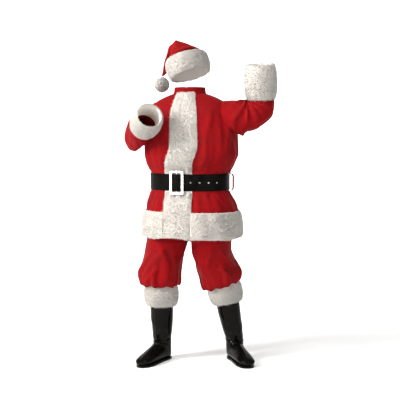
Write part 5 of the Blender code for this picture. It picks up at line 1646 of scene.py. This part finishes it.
class SANTA_OT_materials(Operator):
    """Make the suit's materials"""

    bl_idname = "santa.materials"
    bl_label = "Materials"

    def execute(self, context):
        make_plush(context.scene.santa_cloth)
        make_fur(context.scene.santa_fur)
        gear = context.scene.santa_gear
        make_leather(gear)
        make_metal(gear, "buckle_metal", 1.0, 0.16, 0.32)
        make_metal(gear, "eyelet_metal", 0.5, 0.42, 0.55)
        make_vinyl(gear)
        paint_nodes("buckle_metal", "buckle_frame")
        paint_nodes("eyelet_metal", *[f"belt_eyelet_{k}" for k in range(1, 5)])
        paint_nodes("boot_vinyl", "boot_sole_left", "boot_sole_right")
        paint_nodes("red_plush", "trouser_waistband")
        return {"FINISHED"}


class SANTA_OT_jacket(Operator):
    """Make the jacket's panels and neckband"""

    bl_idname = "santa.jacket"
    bl_label = "Jacket"

    def execute(self, context):
        make_jacket()
        return {"FINISHED"}


class SANTA_OT_sleeves(Operator):
    """Make both sleeves"""

    bl_idname = "santa.sleeves"
    bl_label = "Sleeves"

    def execute(self, context):
        for side_name in ("left", "right"):
            make_sleeve(side_name, context.scene.santa_cloth.creases)
        return {"FINISHED"}


class SANTA_OT_belt(Operator):
    """Make the strap and its loops"""

    bl_idname = "santa.belt"
    bl_label = "Belt"

    def execute(self, context):
        make_belt()
        make_belt_loops()
        return {"FINISHED"}


class SANTA_OT_trousers(Operator):
    """Make both legs of the trousers"""

    bl_idname = "santa.trousers"
    bl_label = "Trousers"

    def execute(self, context):
        for side_name in ("left", "right"):
            make_leg(side_name)
        return {"FINISHED"}


class SANTA_OT_boots(Operator):
    """Make both boots"""

    bl_idname = "santa.boots"
    bl_label = "Boots"

    def execute(self, context):
        for side_name in ("left", "right"):
            make_boot(side_name, context.scene.santa_cloth.creases)
        return {"FINISHED"}


class SANTA_OT_hat(Operator):
    """Make the hat's crown"""

    bl_idname = "santa.hat"
    bl_label = "Hat"

    def execute(self, context):
        make_crown(context.scene.santa_cloth.creases)
        return {"FINISHED"}


class SANTA_OT_fur(Operator):
    """Make every fur trim"""

    bl_idname = "santa.fur"
    bl_label = "Fur trims"

    def execute(self, context):
        look = context.scene.santa_fur
        make_front_band(look)
        make_hem_band(look)
        for side_name in ("left", "right"):
            make_cuff(side_name, look)
            make_leg_cuff(side_name, look)
        make_hat_band(look)
        make_pompom(look)
        return {"FINISHED"}


class SANTA_OT_stage(Operator):
    """Make the backdrop, lights and camera"""

    bl_idname = "santa.stage"
    bl_label = "Stage"

    def execute(self, context):
        make_stage(context.scene.santa_stage)
        return {"FINISHED"}


OPERATORS = (SANTA_OT_materials, SANTA_OT_jacket, SANTA_OT_sleeves, SANTA_OT_belt, SANTA_OT_trousers,
             SANTA_OT_boots, SANTA_OT_hat, SANTA_OT_fur, SANTA_OT_stage)


class SANTA_PT_looks(Panel):
    """Settings and steps of the suit"""

    bl_idname = "SANTA_PT_looks"
    bl_label = "Santa suit"
    bl_space_type = "VIEW_3D"
    bl_region_type = "UI"
    bl_category = "Santa suit"

    def draw(self, context):
        for name, group in GROUPS:
            box = self.layout.box()
            for key in group.__annotations__:
                box.prop(getattr(context.scene, name), key)
        for operator in OPERATORS:
            self.layout.operator(operator.bl_idname)


def register():
    """Register the settings, the operators and the panel."""
    for name, group in GROUPS:
        bpy.utils.register_class(group)
        setattr(bpy.types.Scene, name, PointerProperty(type=group))
    for operator in OPERATORS:
        bpy.utils.register_class(operator)
    bpy.utils.register_class(SANTA_PT_looks)


def unregister():
    """Take the panel, the operators and the settings away again."""
    bpy.utils.unregister_class(SANTA_PT_looks)
    for operator in reversed(OPERATORS):
        bpy.utils.unregister_class(operator)
    for name, group in reversed(GROUPS):
        delattr(bpy.types.Scene, name)
        bpy.utils.unregister_class(group)


def main():
    register()
    bpy.ops.santa.materials()
    bpy.ops.santa.jacket()
    bpy.ops.santa.sleeves()
    bpy.ops.santa.belt()
    bpy.ops.santa.trousers()
    bpy.ops.santa.boots()
    bpy.ops.santa.hat()
    bpy.ops.santa.fur()
    bpy.ops.santa.stage()


if __name__ == "__main__":
    main()
